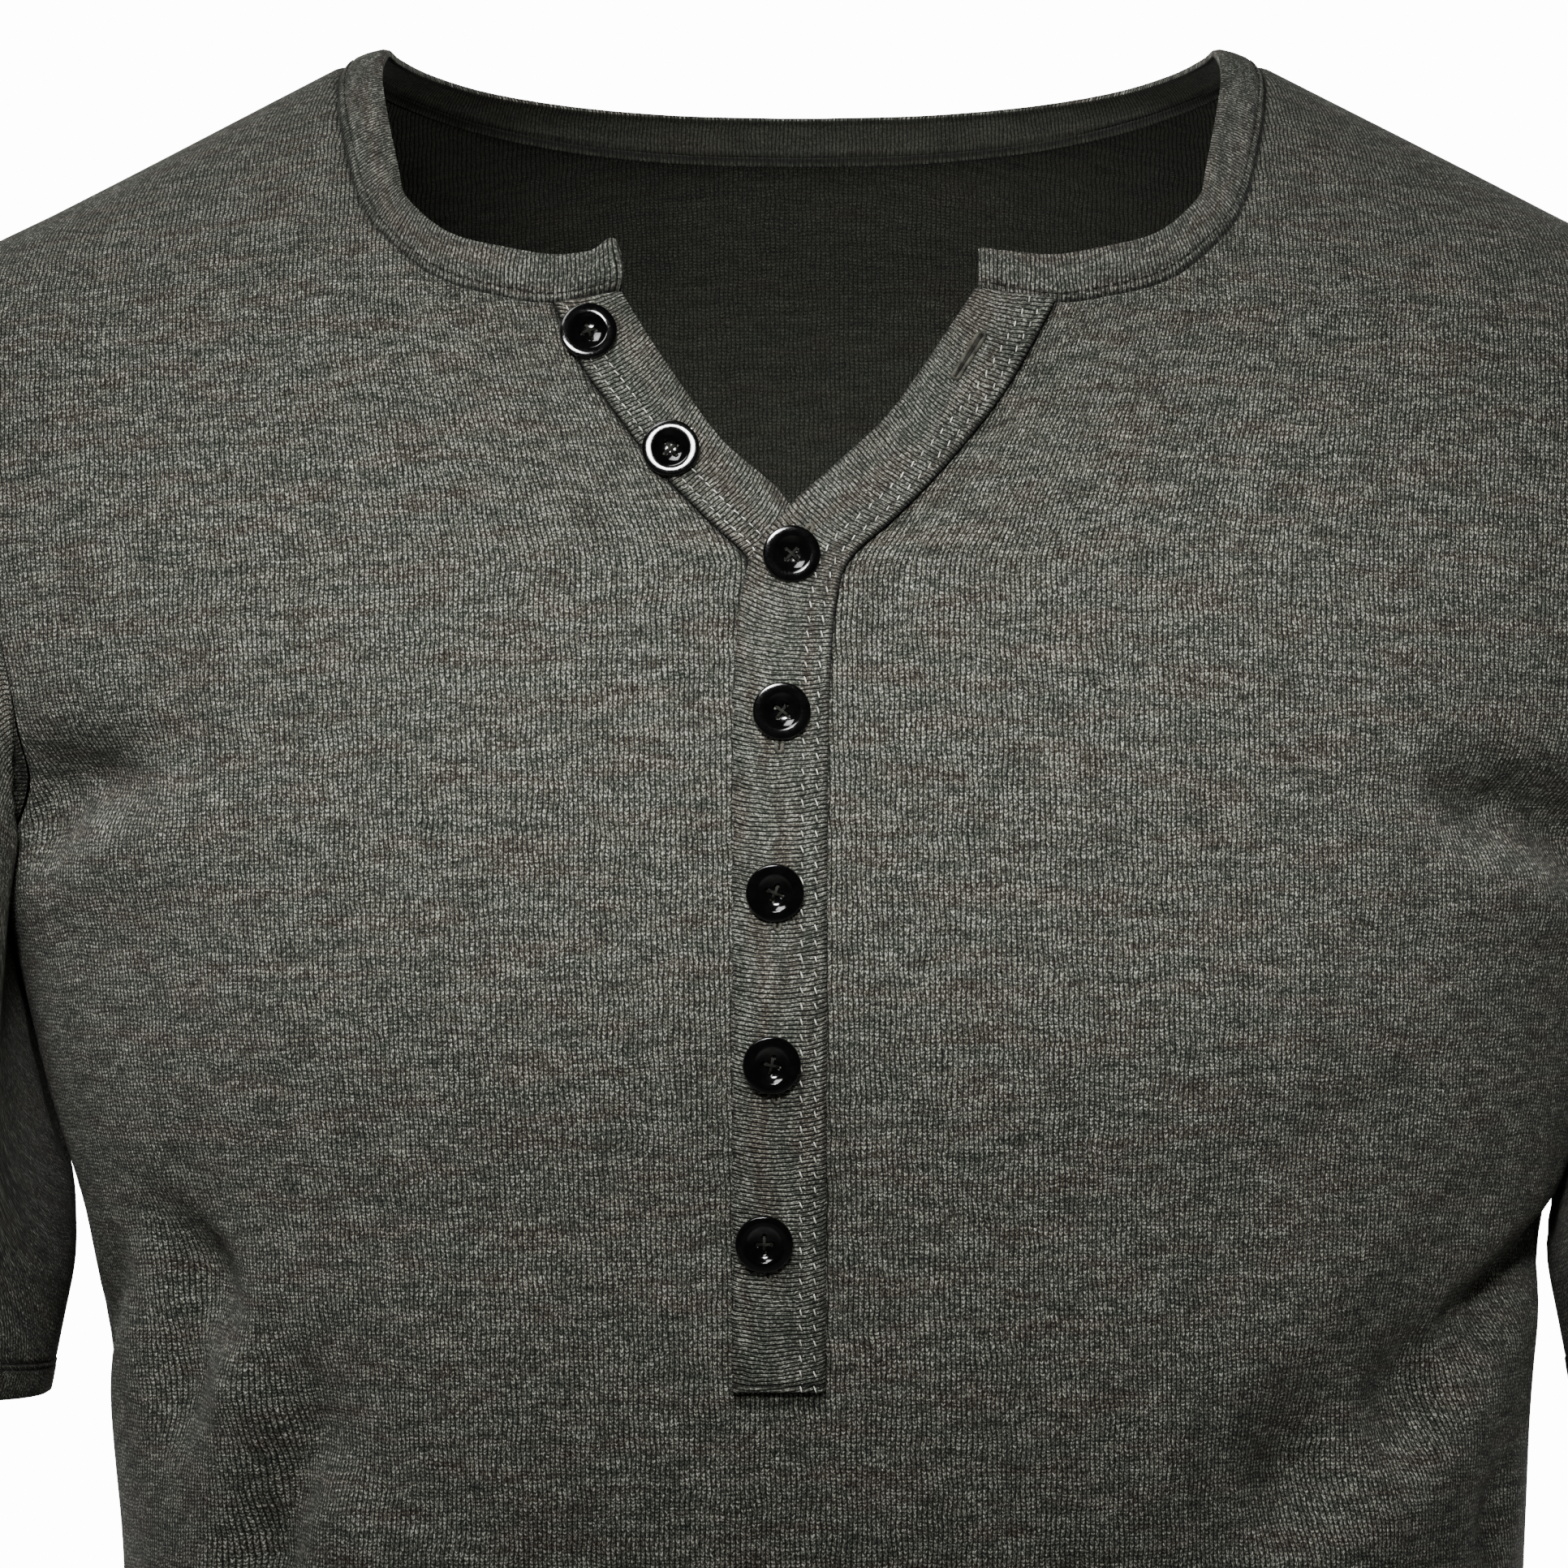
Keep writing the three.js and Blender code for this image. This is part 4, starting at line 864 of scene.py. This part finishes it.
def neckband():
    feet, rises, leans = bandStations(13)
    ways = smoothAlong(np.gradient(feet, axis=0), 6)
    inward = np.stack([ways[:, 1], -ways[:, 0], 0 * ways[:, 0]], -1)
    inward /= np.linalg.norm(inward, axis=1, keepdims=True)
    up = inward * leans[:, None] + np.array([0, 0, 1]) * rises[:, None]
    side = np.cross(ways, up)
    side /= np.linalg.norm(side, axis=1, keepdims=True)
    height = np.linalg.norm(up, axis=1, keepdims=True)
    start = -1.1 / height
    lengths = np.concatenate([[0], np.cumsum(np.linalg.norm(np.diff(feet, axis=0), axis=1))])
    fromEnd = lengths[-1] - lengths
    # the end on the wearer's right has a corner that stands up, the other a turned end
    corner = bandLook["corner"] * np.exp(-((lengths - 1.8) / 3.2) ** 2)
    swell = 1.4 * np.exp(-(lengths / 2.2) ** 2)
    turned = 0.5 * np.exp(-((fromEnd - 5) / 0.5) ** 2)
    ends = 0.6 * np.exp(-(lengths / 0.7) ** 2) + 0.6 * np.exp(-(fromEnd / 0.7) ** 2)
    across = np.concatenate([[0, 0.02, 0.05, 0.09], np.linspace(0.13, 0.9, 24), [0.94, 0.97, 0.99, 1]])
    grid, places, paintedSeamShade = [], [], []
    for s in across:
        rise = start + (1 - start) * s
        mm = s * height[:, 0]
        shape = bandLook["bulge"] * np.sin(np.pi * s)
        shape = shape - 1.3 * np.exp(-(mm / 1.4) ** 2) - 0.55 * np.exp(-((height[:, 0] - mm) / 0.8) ** 2)
        shape = shape - 0.34 * np.exp(-((mm - bandLook["stitchUp"]) / 0.5) ** 2) - turned - ends
        shape = shape + 0.8 * s * s * np.clip(1 - lengths / 6, 0, 1)
        grid.append(feet + up * rise - side * shape[:, None] + np.array([0, 0, 1]) * (corner * s ** 2.2)[:, None]
                    - ways / np.linalg.norm(ways, axis=1, keepdims=True) * (swell * np.sin(np.pi * s ** 0.7))[:, None])
        places.append(np.stack([lengths, mm], -1))
        # painted shade: the colour is darkened along the foot seam, the stitch line and the turned end
        lines = np.exp(-((mm - 0.9) / 0.7) ** 2) + 0.6 * np.exp(-((mm - bandLook["stitchUp"]) / 0.35) ** 2)
        paintedSeamShade.append(np.clip(lines + 0.9 * turned, 0, 1))
    outer, uv = np.array(grid)[:, ::-1], np.array(places)[:, ::-1]
    normal = gridNormals(outer)
    made = wallMesh("cloth_neckband", outer, normal, np.full(outer.shape[:2], ribWall), uv, np.array(paintedSeamShade)[:, ::-1])
    return made, outer, normal, across


band, bandOuter, bandNormal, bandAcross = neckband()
dress(band, rib, "rib", "neckband")
print("neckband made")

# ---- plackets ----
placketLook = {"smile": 1.6, "overGrooves": (2.7, 6.1), "underRows": (2.5, 6.1), "welt": 1.1, "pucker": 0.35}


def edgeRound(off, width, size=0.7):
    return -size * np.exp(-(off / 0.7) ** 2) - size * np.exp(-((width - off) / 0.7) ** 2)


def overShape(off, width, along):
    fromSeam = width - off
    first, second = placketLook["overGrooves"]
    pipe = 0.55 * np.sqrt(np.clip(1 - ((fromSeam - first / 2) / (first / 2)) ** 2, 0, 1))
    pipe = pipe + 0.42 * np.sqrt(np.clip(1 - ((fromSeam - (first + second) / 2) / ((second - first) / 2)) ** 2, 0, 1))
    flat = 0.3 * np.clip((fromSeam - second) / 1.8, 0, 1)
    # small gathers by the free edge, and the welt across the bottom end
    gather = placketLook["pucker"] * np.exp(-((off - 1.5) / 2.2) ** 2) * np.clip((190 - along) / 20, 0, 1)
    gather = gather * (np.sin(along * 1.25) + 0.7 * np.sin(along * 2.05 + 1) + 0.5 * np.sin(along * 0.53 + 2))
    welt = placketLook["welt"]
    bead = 0.5 * np.sqrt(np.clip(1 - ((along - welt / 2) / (welt / 2)) ** 2, 0, 1))
    bead = bead - 0.35 * np.exp(-((along - welt - 0.5) / 0.4) ** 2) - 0.5 * np.exp(-(along / 0.3) ** 2)
    closed = np.clip((185 - along) / 15, 0, 1)
    valley = -0.8 * closed * np.exp(-((off - 2.5) / 1.5) ** 2) * (0.6 + 0.4 * np.sin(along * 0.045 + 2.6))
    slope = -0.7 * closed * np.exp(-(fromSeam / 1.5) ** 2)
    # painted shade: the second value darkens the colour along the seam, the two stitch grooves, the free edge and under
    # the welt
    lines = (1 - 0.7 * closed) * np.exp(-(fromSeam / 0.5) ** 2) + 0.75 * np.exp(-((fromSeam - first) / 0.45) ** 2)
    lines = lines + 0.5 * np.exp(-((fromSeam - second) / 0.5) ** 2) + 0.5 * np.exp(-((off - 0.2) / 0.6) ** 2)
    lines = lines + np.exp(-((along - welt - 0.5) / 0.4) ** 2)
    return pipe + flat + gather + bead + valley + slope + edgeRound(off, width), np.clip(lines, 0, 1)


def underShape(off, width, along):
    first, second = placketLook["underRows"]
    groove = 0.22 * (np.exp(-((off - first) / 0.45) ** 2) + np.exp(-((off - second) / 0.45) ** 2))
    # painted shade: the second value darkens the colour along the edge and the two stitch rows
    lines = np.exp(-(off / 0.6) ** 2) + 1.8 * groove
    return 0.1 - groove + edgeRound(off, width, 0.5), np.clip(lines, 0, 1) + 0 * along


def strip(name, lines, lift, shape):
    share = np.concatenate([[0, 0.012, 0.028, 0.05], np.linspace(0.075, 0.5, 18), np.linspace(0.52, 0.95, 36), [0.965, 0.98, 0.992, 1]])
    left, right = angleAt(lines[:, 0], lines[:, 1]), angleAt(lines[:, 2], lines[:, 3])
    leftPoint, rightPoint = bodyPoint(left, lines[:, 1])[0], bodyPoint(right, lines[:, 3])[0]
    width = np.linalg.norm(rightPoint - leftPoint, axis=1)[:, None]
    angles = mix(left[:, None], right[:, None], share[None])
    heights = mix(lines[:, 1][:, None], lines[:, 3][:, None], share[None])
    points, normal = bodyPoint(angles, heights)
    middle = (leftPoint + rightPoint) / 2
    lengths = np.concatenate([[0], np.cumsum(np.linalg.norm(np.diff(middle, axis=0), axis=1))])
    # the shape also gives the mask of painted seam shade
    relief, paintedSeamShade = shape(share[None] * width, width, lengths[:, None])
    outer = points + normal * (lift + relief)[..., None]
    smile = placketLook["smile"] * (1 - (2 * share[None] - 1) ** 2) - 2.5 * share[None] * np.exp(-lengths[:, None] / 14)
    uv = np.stack([lengths[:, None] + smile, share[None] * width], -1)
    wall = np.full(outer.shape[:2], ribWall)
    return wallMesh(name, outer, normal, wall, uv, paintedSeamShade), outer, normal, share, width[:, 0]


def columnAt(outer, normal, share, width, off, fromRight=False):
    # line on a strip at a distance from one of its edges
    want = (width - off if fromRight else off + 0 * width) / width
    index = np.interp(want, share, np.arange(len(share)))
    low = np.clip(index.astype(int), 0, len(share) - 2)
    part = (index - low)[:, None]
    rows = np.arange(len(outer))
    return (outer[rows, low] * (1 - part) + outer[rows, low + 1] * part,
            normal[rows, low] * (1 - part) + normal[rows, low + 1] * part)


overLift = ribWall + 0.35
overSteps = np.concatenate([[0, 0.003, 0.006, 0.009, 0.012, 0.0155, 0.019, 0.023, 0.028],
                            np.linspace(0.036, 3, 190), np.linspace(3, 9, 170)[1:]])
overLines = readTable(overRows, overSteps)[:, 1:]
wander = np.clip((3.4 - overSteps) * 2, 0, 1) * np.clip(overSteps * 12, 0, 1)
overLines[:, 0] += wander * (0.35 * np.sin(overLines[:, 1] * 0.7) + 0.25 * np.sin(overLines[:, 1] * 1.21 + 1))
over, overOuter, overNormal, overShare, overWidth = strip("cloth_placket_over", overLines, overLift, overShape)
dress(over, rib, "rib", "placket_over")

underHeights = np.concatenate([np.linspace(-305, -125, 130), np.linspace(-125, -38.3, 120)[1:]])
underRight = readTable(underRows, underHeights)
underLeft = readTable(slotRows, underHeights)[:, 1] + 0.45
leftHeights = underHeights + np.where(underHeights < -304.9, 0.4, np.where(underHeights > -60, -0.3, 0))
underLines = np.stack([underLeft, leftHeights, underRight[:, 1], underRight[:, 2]], -1)
under, underOuter, underNormal, underShare, underWidth = strip("cloth_placket_under", underLines, 0, underShape)
dress(under, rib, "rib", "placket_under")
print("plackets made")

# ---- stitching ----
stitchLook = {"pitch": 2.5, "length": 1.75, "radius": 0.17, "hemPitch": 3.0, "hemLength": 2.3}


def stitchLine(points, normals, pitch, length, radius, slant=0.0, seed=1, arch=0.16):
    return stitchMesh(*alongLine(points, normals, pitch), length, radius, arch, slant, seed)


look = stitchLook
rows = []
for k, off in enumerate(placketLook["underRows"]):
    line = columnAt(underOuter, underNormal, underShare, underWidth, off)
    rows.append(stitchLine(*line, look["pitch"], look["length"], look["radius"], 0.08, 11 + k, 0.2))
underStitches = joinParts("thread_placket_under", rows)
rows = []
for k, off in enumerate(placketLook["overGrooves"]):
    line = columnAt(overOuter, overNormal, overShare, overWidth, off, fromRight=True)
    rows.append(stitchLine(*line, 3.8, 2.1, look["radius"], 0.32, 21 + k, 0.26))
overStitches = joinParts("thread_placket_over", rows)
mm = bandLook["stitchUp"] / 12
column = int(np.argmin(np.abs(bandAcross - mm)))
bandStitches = joinParts("thread_neckband", [stitchLine(bandOuter[column], bandNormal[column], 2.6, 1.9, 0.15, 0.05, 31, 0.2)])
for piece, kind in ((underStitches, thread), (overStitches, thread), (bandStitches, darkThread)):
    dress(piece, kind, "rib")

hemRows = []
for outer, normal, heights in ((frontOuter, frontNormal, frontHeights), (backOuter, backNormal, backHeights)):
    for up in (16, 19.2):
        k = int(np.argmin(np.abs(heights[:20, 5] - (hemHeight + up))))
        hemRows.append(stitchLine(outer[k], normal[k], look["hemPitch"], look["hemLength"], 0.15, 0.0, 41 + k, 0.2))
hemStitches = joinParts("thread_hem", hemRows)
dress(hemStitches, darkThread, "jersey")
cuffRows = []
for outer, normal in ((rightOuter, rightNormal), (leftOuter, leftNormal)):
    for up in (16, 19.2):
        k = int(np.argmin(np.abs((1 - sleeveSteps) * 262 - up)))
        ring, ringNormal = np.concatenate([outer[k], outer[k][:1]]), np.concatenate([normal[k], normal[k][:1]])
        cuffRows.append(stitchLine(ring, ringNormal, look["hemPitch"], look["hemLength"], 0.15, 0.0, 51 + k, 0.2))
cuffStitches = joinParts("thread_cuffs", cuffRows)
dress(cuffStitches, darkThread, "jersey")
print("stitching made")

# ---- buttons ----
# x, height, layers beneath, lean sideways, lean up: the shanks of thread let them tip a little
buttonRows = [
    [-55.4, -46.4, 1, 0.1, -0.12], [-34.8, -75.8, 1, -0.0017, -0.155], [-5.2, -102.6, 2, 0.06, -0.21], [-7.6, -140.8, 2, 0.05, -0.1],
    [-9.2, -184.4, 2, 0.02, -0.11], [-10, -226, 2, 0.05, -0.04], [-11.9, -270.2, 2, 0.02, -0.03]]


def buttonMesh(look):
    r, t = look["radius"], look["thickness"]
    profile = [(0, 0), (r - 1.7, 0), (r - 0.8, 0.15), (r - 0.3, 0.5), (r - 0.05, 0.95), (r, 1.25), (r - 0.03, 1.6),
               (r - 0.1, t - 0.32), (r - 0.2, t - 0.13), (r - 0.32, t - 0.04), (r - 0.46, t), (r - 2.45, t),
               (r - 2.58, t - 0.03), (r - 2.72, t - 0.1), (r - 2.92, t - 0.23), (r - 3.15, t - 0.4),
               (r - 3.48, t - 0.58), (r - 3.85, t - 0.75), (r - 4.3, t - 0.92), (r - 4.85, t - 1.06),
               (r - 5.5, t - 1.16), (r - 6.2, t - 1.2)]
    sides = 72
    around = 2 * np.pi * np.arange(sides) / sides
    rings = [[(0, 0, profile[0][1])]]
    for radius, up in profile[1:]:
        rings.append(np.stack([radius * np.cos(around), radius * np.sin(around), up + 0 * around], -1))
    points = np.concatenate(rings + [[(0, 0, t - 1.21)]]) / 1000
    faces = [[0, 1 + (k + 1) % sides, 1 + k] for k in range(sides)]
    for ring in range(len(profile) - 2):
        a, b = 1 + ring * sides, 1 + (ring + 1) * sides
        faces += [[a + k, a + (k + 1) % sides, b + (k + 1) % sides, b + k] for k in range(sides)]
    a, top = 1 + (len(profile) - 2) * sides, len(points) - 1
    faces += [[a + k, a + (k + 1) % sides, top] for k in range(sides)]
    body = meshObject("buttonShape", points, faces)
    for x in (-1, 1):
        for y in (-1, 1):
            bpy.ops.mesh.primitive_cylinder_add(vertices=28, radius=look["hole"] / 1000, depth=0.006,
                                                location=(x * look["holeOff"] / 1000, y * look["holeOff"] / 1000, 0.001))
            drill = bpy.context.object
            cut = body.modifiers.new("drill", "BOOLEAN")
            cut.operation, cut.object, cut.solver = "DIFFERENCE", drill, "EXACT"
            bpy.context.view_layer.update()
            cleaned = bpy.data.meshes.new_from_object(body.evaluated_get(bpy.context.evaluated_depsgraph_get()))
            body.modifiers.clear()
            body.data = cleaned
            bpy.data.objects.remove(drill, do_unlink=True)
    mesh = body.data
    bpy.data.objects.remove(body, do_unlink=True)
    mesh.polygons.foreach_set("use_smooth", [True] * len(mesh.polygons))
    return mesh


buttonShape = buttonMesh(buttonLook)


def buttonPlace(x, height, layers):
    angle = angleAt(x, height)
    lift = 0.3 if layers == 1 else ribWall + 0.35 + 0.3
    point, normal = bodyPoint(angle, height, lift, fine=False)
    return point, normal


for k, (x, height, layers, sideways, upward) in enumerate(buttonRows):
    point, normal = buttonPlace(x, height, layers)
    facing = Vector(normal) + Vector((sideways, 0, upward))
    turn = Vector((0, 0, 1)).rotation_difference(facing.normalized()).to_matrix().to_4x4()
    spin = Matrix.Rotation(math.radians(11 * k - 20), 4, "Z")
    place = Matrix.Translation(Vector(point) / 1000) @ turn @ spin
    mesh = buttonShape.copy()
    mesh.transform(place)
    button = bpy.data.objects.new("gloss_button_%d" % (k + 1), mesh)
    bpy.context.scene.collection.objects.link(button)
    button.data.materials.clear()
    dress(button, blackResin, "button", "button_%d" % (k + 1))
    # crossed thread between the four holes
    basis = np.array(place.to_3x3())
    origin = np.array(place.translation) * 1000
    strands = []
    off = buttonLook["holeOff"]
    for strand, shift in enumerate((-0.22, 0, 0.22)):
        for sign in (-1, 1):
            direction = np.array([1, sign, 0]) / math.sqrt(2)
            sidewaysStep = np.array([-sign, 1, 0]) / math.sqrt(2) * shift
            level = buttonLook["thickness"] - 1.2 + (0.3 if sign > 0 else 0.55) + 0.03 * strand
            centre = origin + basis @ (sidewaysStep + np.array([0, 0, level]))
            strands.append(stitchMesh(centre[None], (basis @ direction)[None], (basis @ np.array([0, 0, 1.0]))[None],
                                      2 * off * 1.41 + 0.4, 0.16, 0.38, 0.0, 61 + k))
    cross = joinParts("thread_button_%d" % (k + 1), strands)
    dress(cross, darkThread, "button")
print("buttons made")

# ---- buttonholes ----
# x, height of the middle, length, half the distance between its two edges
holeRows = [
    [38.6, -52.6, 14.6, 0.85], [-3.9, -101.4, 16.4, 0.7], [-7.9, -142.4, 16.2, 0.7],
    [-9.0, -185.8, 16.2, 0.7], [-9.4, -227.4, 16.2, 0.7], [-10.6, -271.4, 16.2, 0.7]]


def nearestOnStrip(x, height, outer, normal):
    away = (outer[..., 0] - x) ** 2 + (outer[..., 2] - height) ** 2
    r, c = np.unravel_index(np.argmin(away), away.shape)
    way = outer[min(r + 2, len(outer) - 1), c] - outer[max(r - 2, 0), c]
    way = way / np.linalg.norm(way)
    out = normal[r, c] - way * np.dot(way, normal[r, c])
    return outer[r, c], way, out / np.linalg.norm(out)


holeParts, slitShadeParts = [], []
for k, (x, height, length, gap) in enumerate(holeRows):
    centre, way, out = nearestOnStrip(x, height, overOuter, overNormal)
    across = np.cross(out, way)
    half = length / 2 - 1
    straight = np.linspace(-half, half, 40)
    bend = np.linspace(0, np.pi, 10)[1:-1]
    track = [(s, gap * (1 + 0.25 * (s / half) * (k == 0))) for s in straight]
    track += [(half + gap * np.sin(b), gap * np.cos(b)) for b in bend]
    track += [(s, -gap) for s in straight[::-1]]
    track += [(-half - gap * np.sin(b), -gap * np.cos(b)) for b in bend]
    track = np.array(track)
    loop = centre + track[:, :1] * way + track[:, 1:] * across
    loopWay = np.roll(loop, -1, axis=0) - np.roll(loop, 1, axis=0)
    loopWay /= np.linalg.norm(loopWay, axis=1, keepdims=True)
    outs = np.repeat(out[None], len(loop), axis=0)
    cross = np.cross(outs, loopWay)
    holeParts.append(stitchMesh(loop + 0.05 * outs, cross, outs, 1.35, 0.2, 0.3, 0.5, 71 + k))
    count = len(track)
    # a dark lens fills each slit between the stitch rows: painted shade of the opening
    rim = centre + track[:, :1] * way + track[:, 1:] * across * 0.7
    ring = np.concatenate([(centre + 0.16 * out)[None], rim + 0.14 * out, rim - 0.3 * out, (centre - 0.3 * out)[None]])
    faces = [[0, 1 + (m + 1) % count, 1 + m] for m in range(count)]
    faces += [[1 + m, 1 + (m + 1) % count, 1 + count + (m + 1) % count, 1 + count + m] for m in range(count)]
    faces += [[1 + 2 * count, 1 + count + m, 1 + count + (m + 1) % count] for m in range(count)]
    slitShadeParts.append((ring, faces))
holeThreads = joinParts("thread_buttonholes", holeParts)
dress(holeThreads, holeThread, "rib")
slitShades = joinParts("buttonhole_slit_painted_shade", slitShadeParts)
dress(slitShades, darkThread, "rib")
print("buttonholes made")

# ---- stage, light and camera ----
stageLook = {"floor": "#e9e8e5", "floorDrop": 0.02, "world": 0.045}
floorHeight = cadBox[0][2] - stageLook["floorDrop"]
bpy.ops.mesh.primitive_plane_add(size=3.4, location=(0, 0.2, floorHeight))
floor = bpy.context.object
floor.name = "floor"
floor.data.materials.append(plainMaterial("pale painted floor", stageLook["floor"], 0.7))

world = bpy.data.worlds.new("studio")
bpy.context.scene.world = world
world.use_nodes = True
tree = world.node_tree
tree.nodes.clear()
lightPath = addNode(tree, "ShaderNodeLightPath")
dim = addNode(tree, "ShaderNodeBackground", None, {"Color": (1, 1, 1, 1), "Strength": stageLook["world"]})
bright = addNode(tree, "ShaderNodeBackground", None, {"Color": (1, 1, 1, 1), "Strength": 14.0})
choose = addNode(tree, "ShaderNodeMixShader", None, {0: lightPath.outputs["Is Camera Ray"], 1: dim, 2: bright})
addNode(tree, "ShaderNodeOutputWorld", None, {"Surface": choose})

# name, place, aimed at, width, height, spread in degrees, watts
lightRows = [
    ["key", (-0.36, -0.74, 0.74), (-0.01, -0.1, -0.07), 0.55, 0.55, 60, 2.25],
    ["front", (-0.08, -1.35, 0.42), (0, -0.12, -0.15), 0.52, 0.15, 16.7, 0.68],
    ["behind right", (-0.95, 1.5, 0.05), (0, 0.1, -0.3), 0.7, 0.7, 70, 3.2],
    ["behind left", (0.95, 1.5, 0.05), (0, 0.1, -0.3), 0.7, 0.7, 70, 4.4],
]
for name, place, aim, width, height, spread, watts in lightRows:
    lamp = bpy.data.lights.new(name, "AREA")
    lamp.shape, lamp.size, lamp.size_y, lamp.energy = "RECTANGLE", width, height, watts
    lamp.spread = math.radians(spread)
    made = bpy.data.objects.new(name, lamp)
    made.location = place
    made.rotation_euler = (Vector(aim) - Vector(place)).to_track_quat("-Z", "Y").to_euler()
    bpy.context.scene.collection.objects.link(made)

# a small lamp inside the shirt, which shows the reverse of the back through the open neck
inside = bpy.data.lights.new("inside", "POINT")
inside.shadow_soft_size, inside.energy = 0, 0.27
insideLamp = bpy.data.objects.new("inside", inside)
insideLamp.location = (0.018, -0.035, -0.012)
bpy.context.scene.collection.objects.link(insideLamp)

cameraLook = {"pixelsPerRadian": 9025, "imageWidth": 1932, "place": (-0.007, -1.9, -0.158)}
cameraData = bpy.data.cameras.new("camera")
cameraData.sensor_width = 36
cameraData.lens = 36 * cameraLook["pixelsPerRadian"] / cameraLook["imageWidth"]
camera = bpy.data.objects.new("camera", cameraData)
camera.location = cameraLook["place"]
camera.rotation_euler = (math.radians(90), 0, 0)
bpy.context.scene.collection.objects.link(camera)
bpy.context.scene.camera = camera
print("stage, light and camera made")
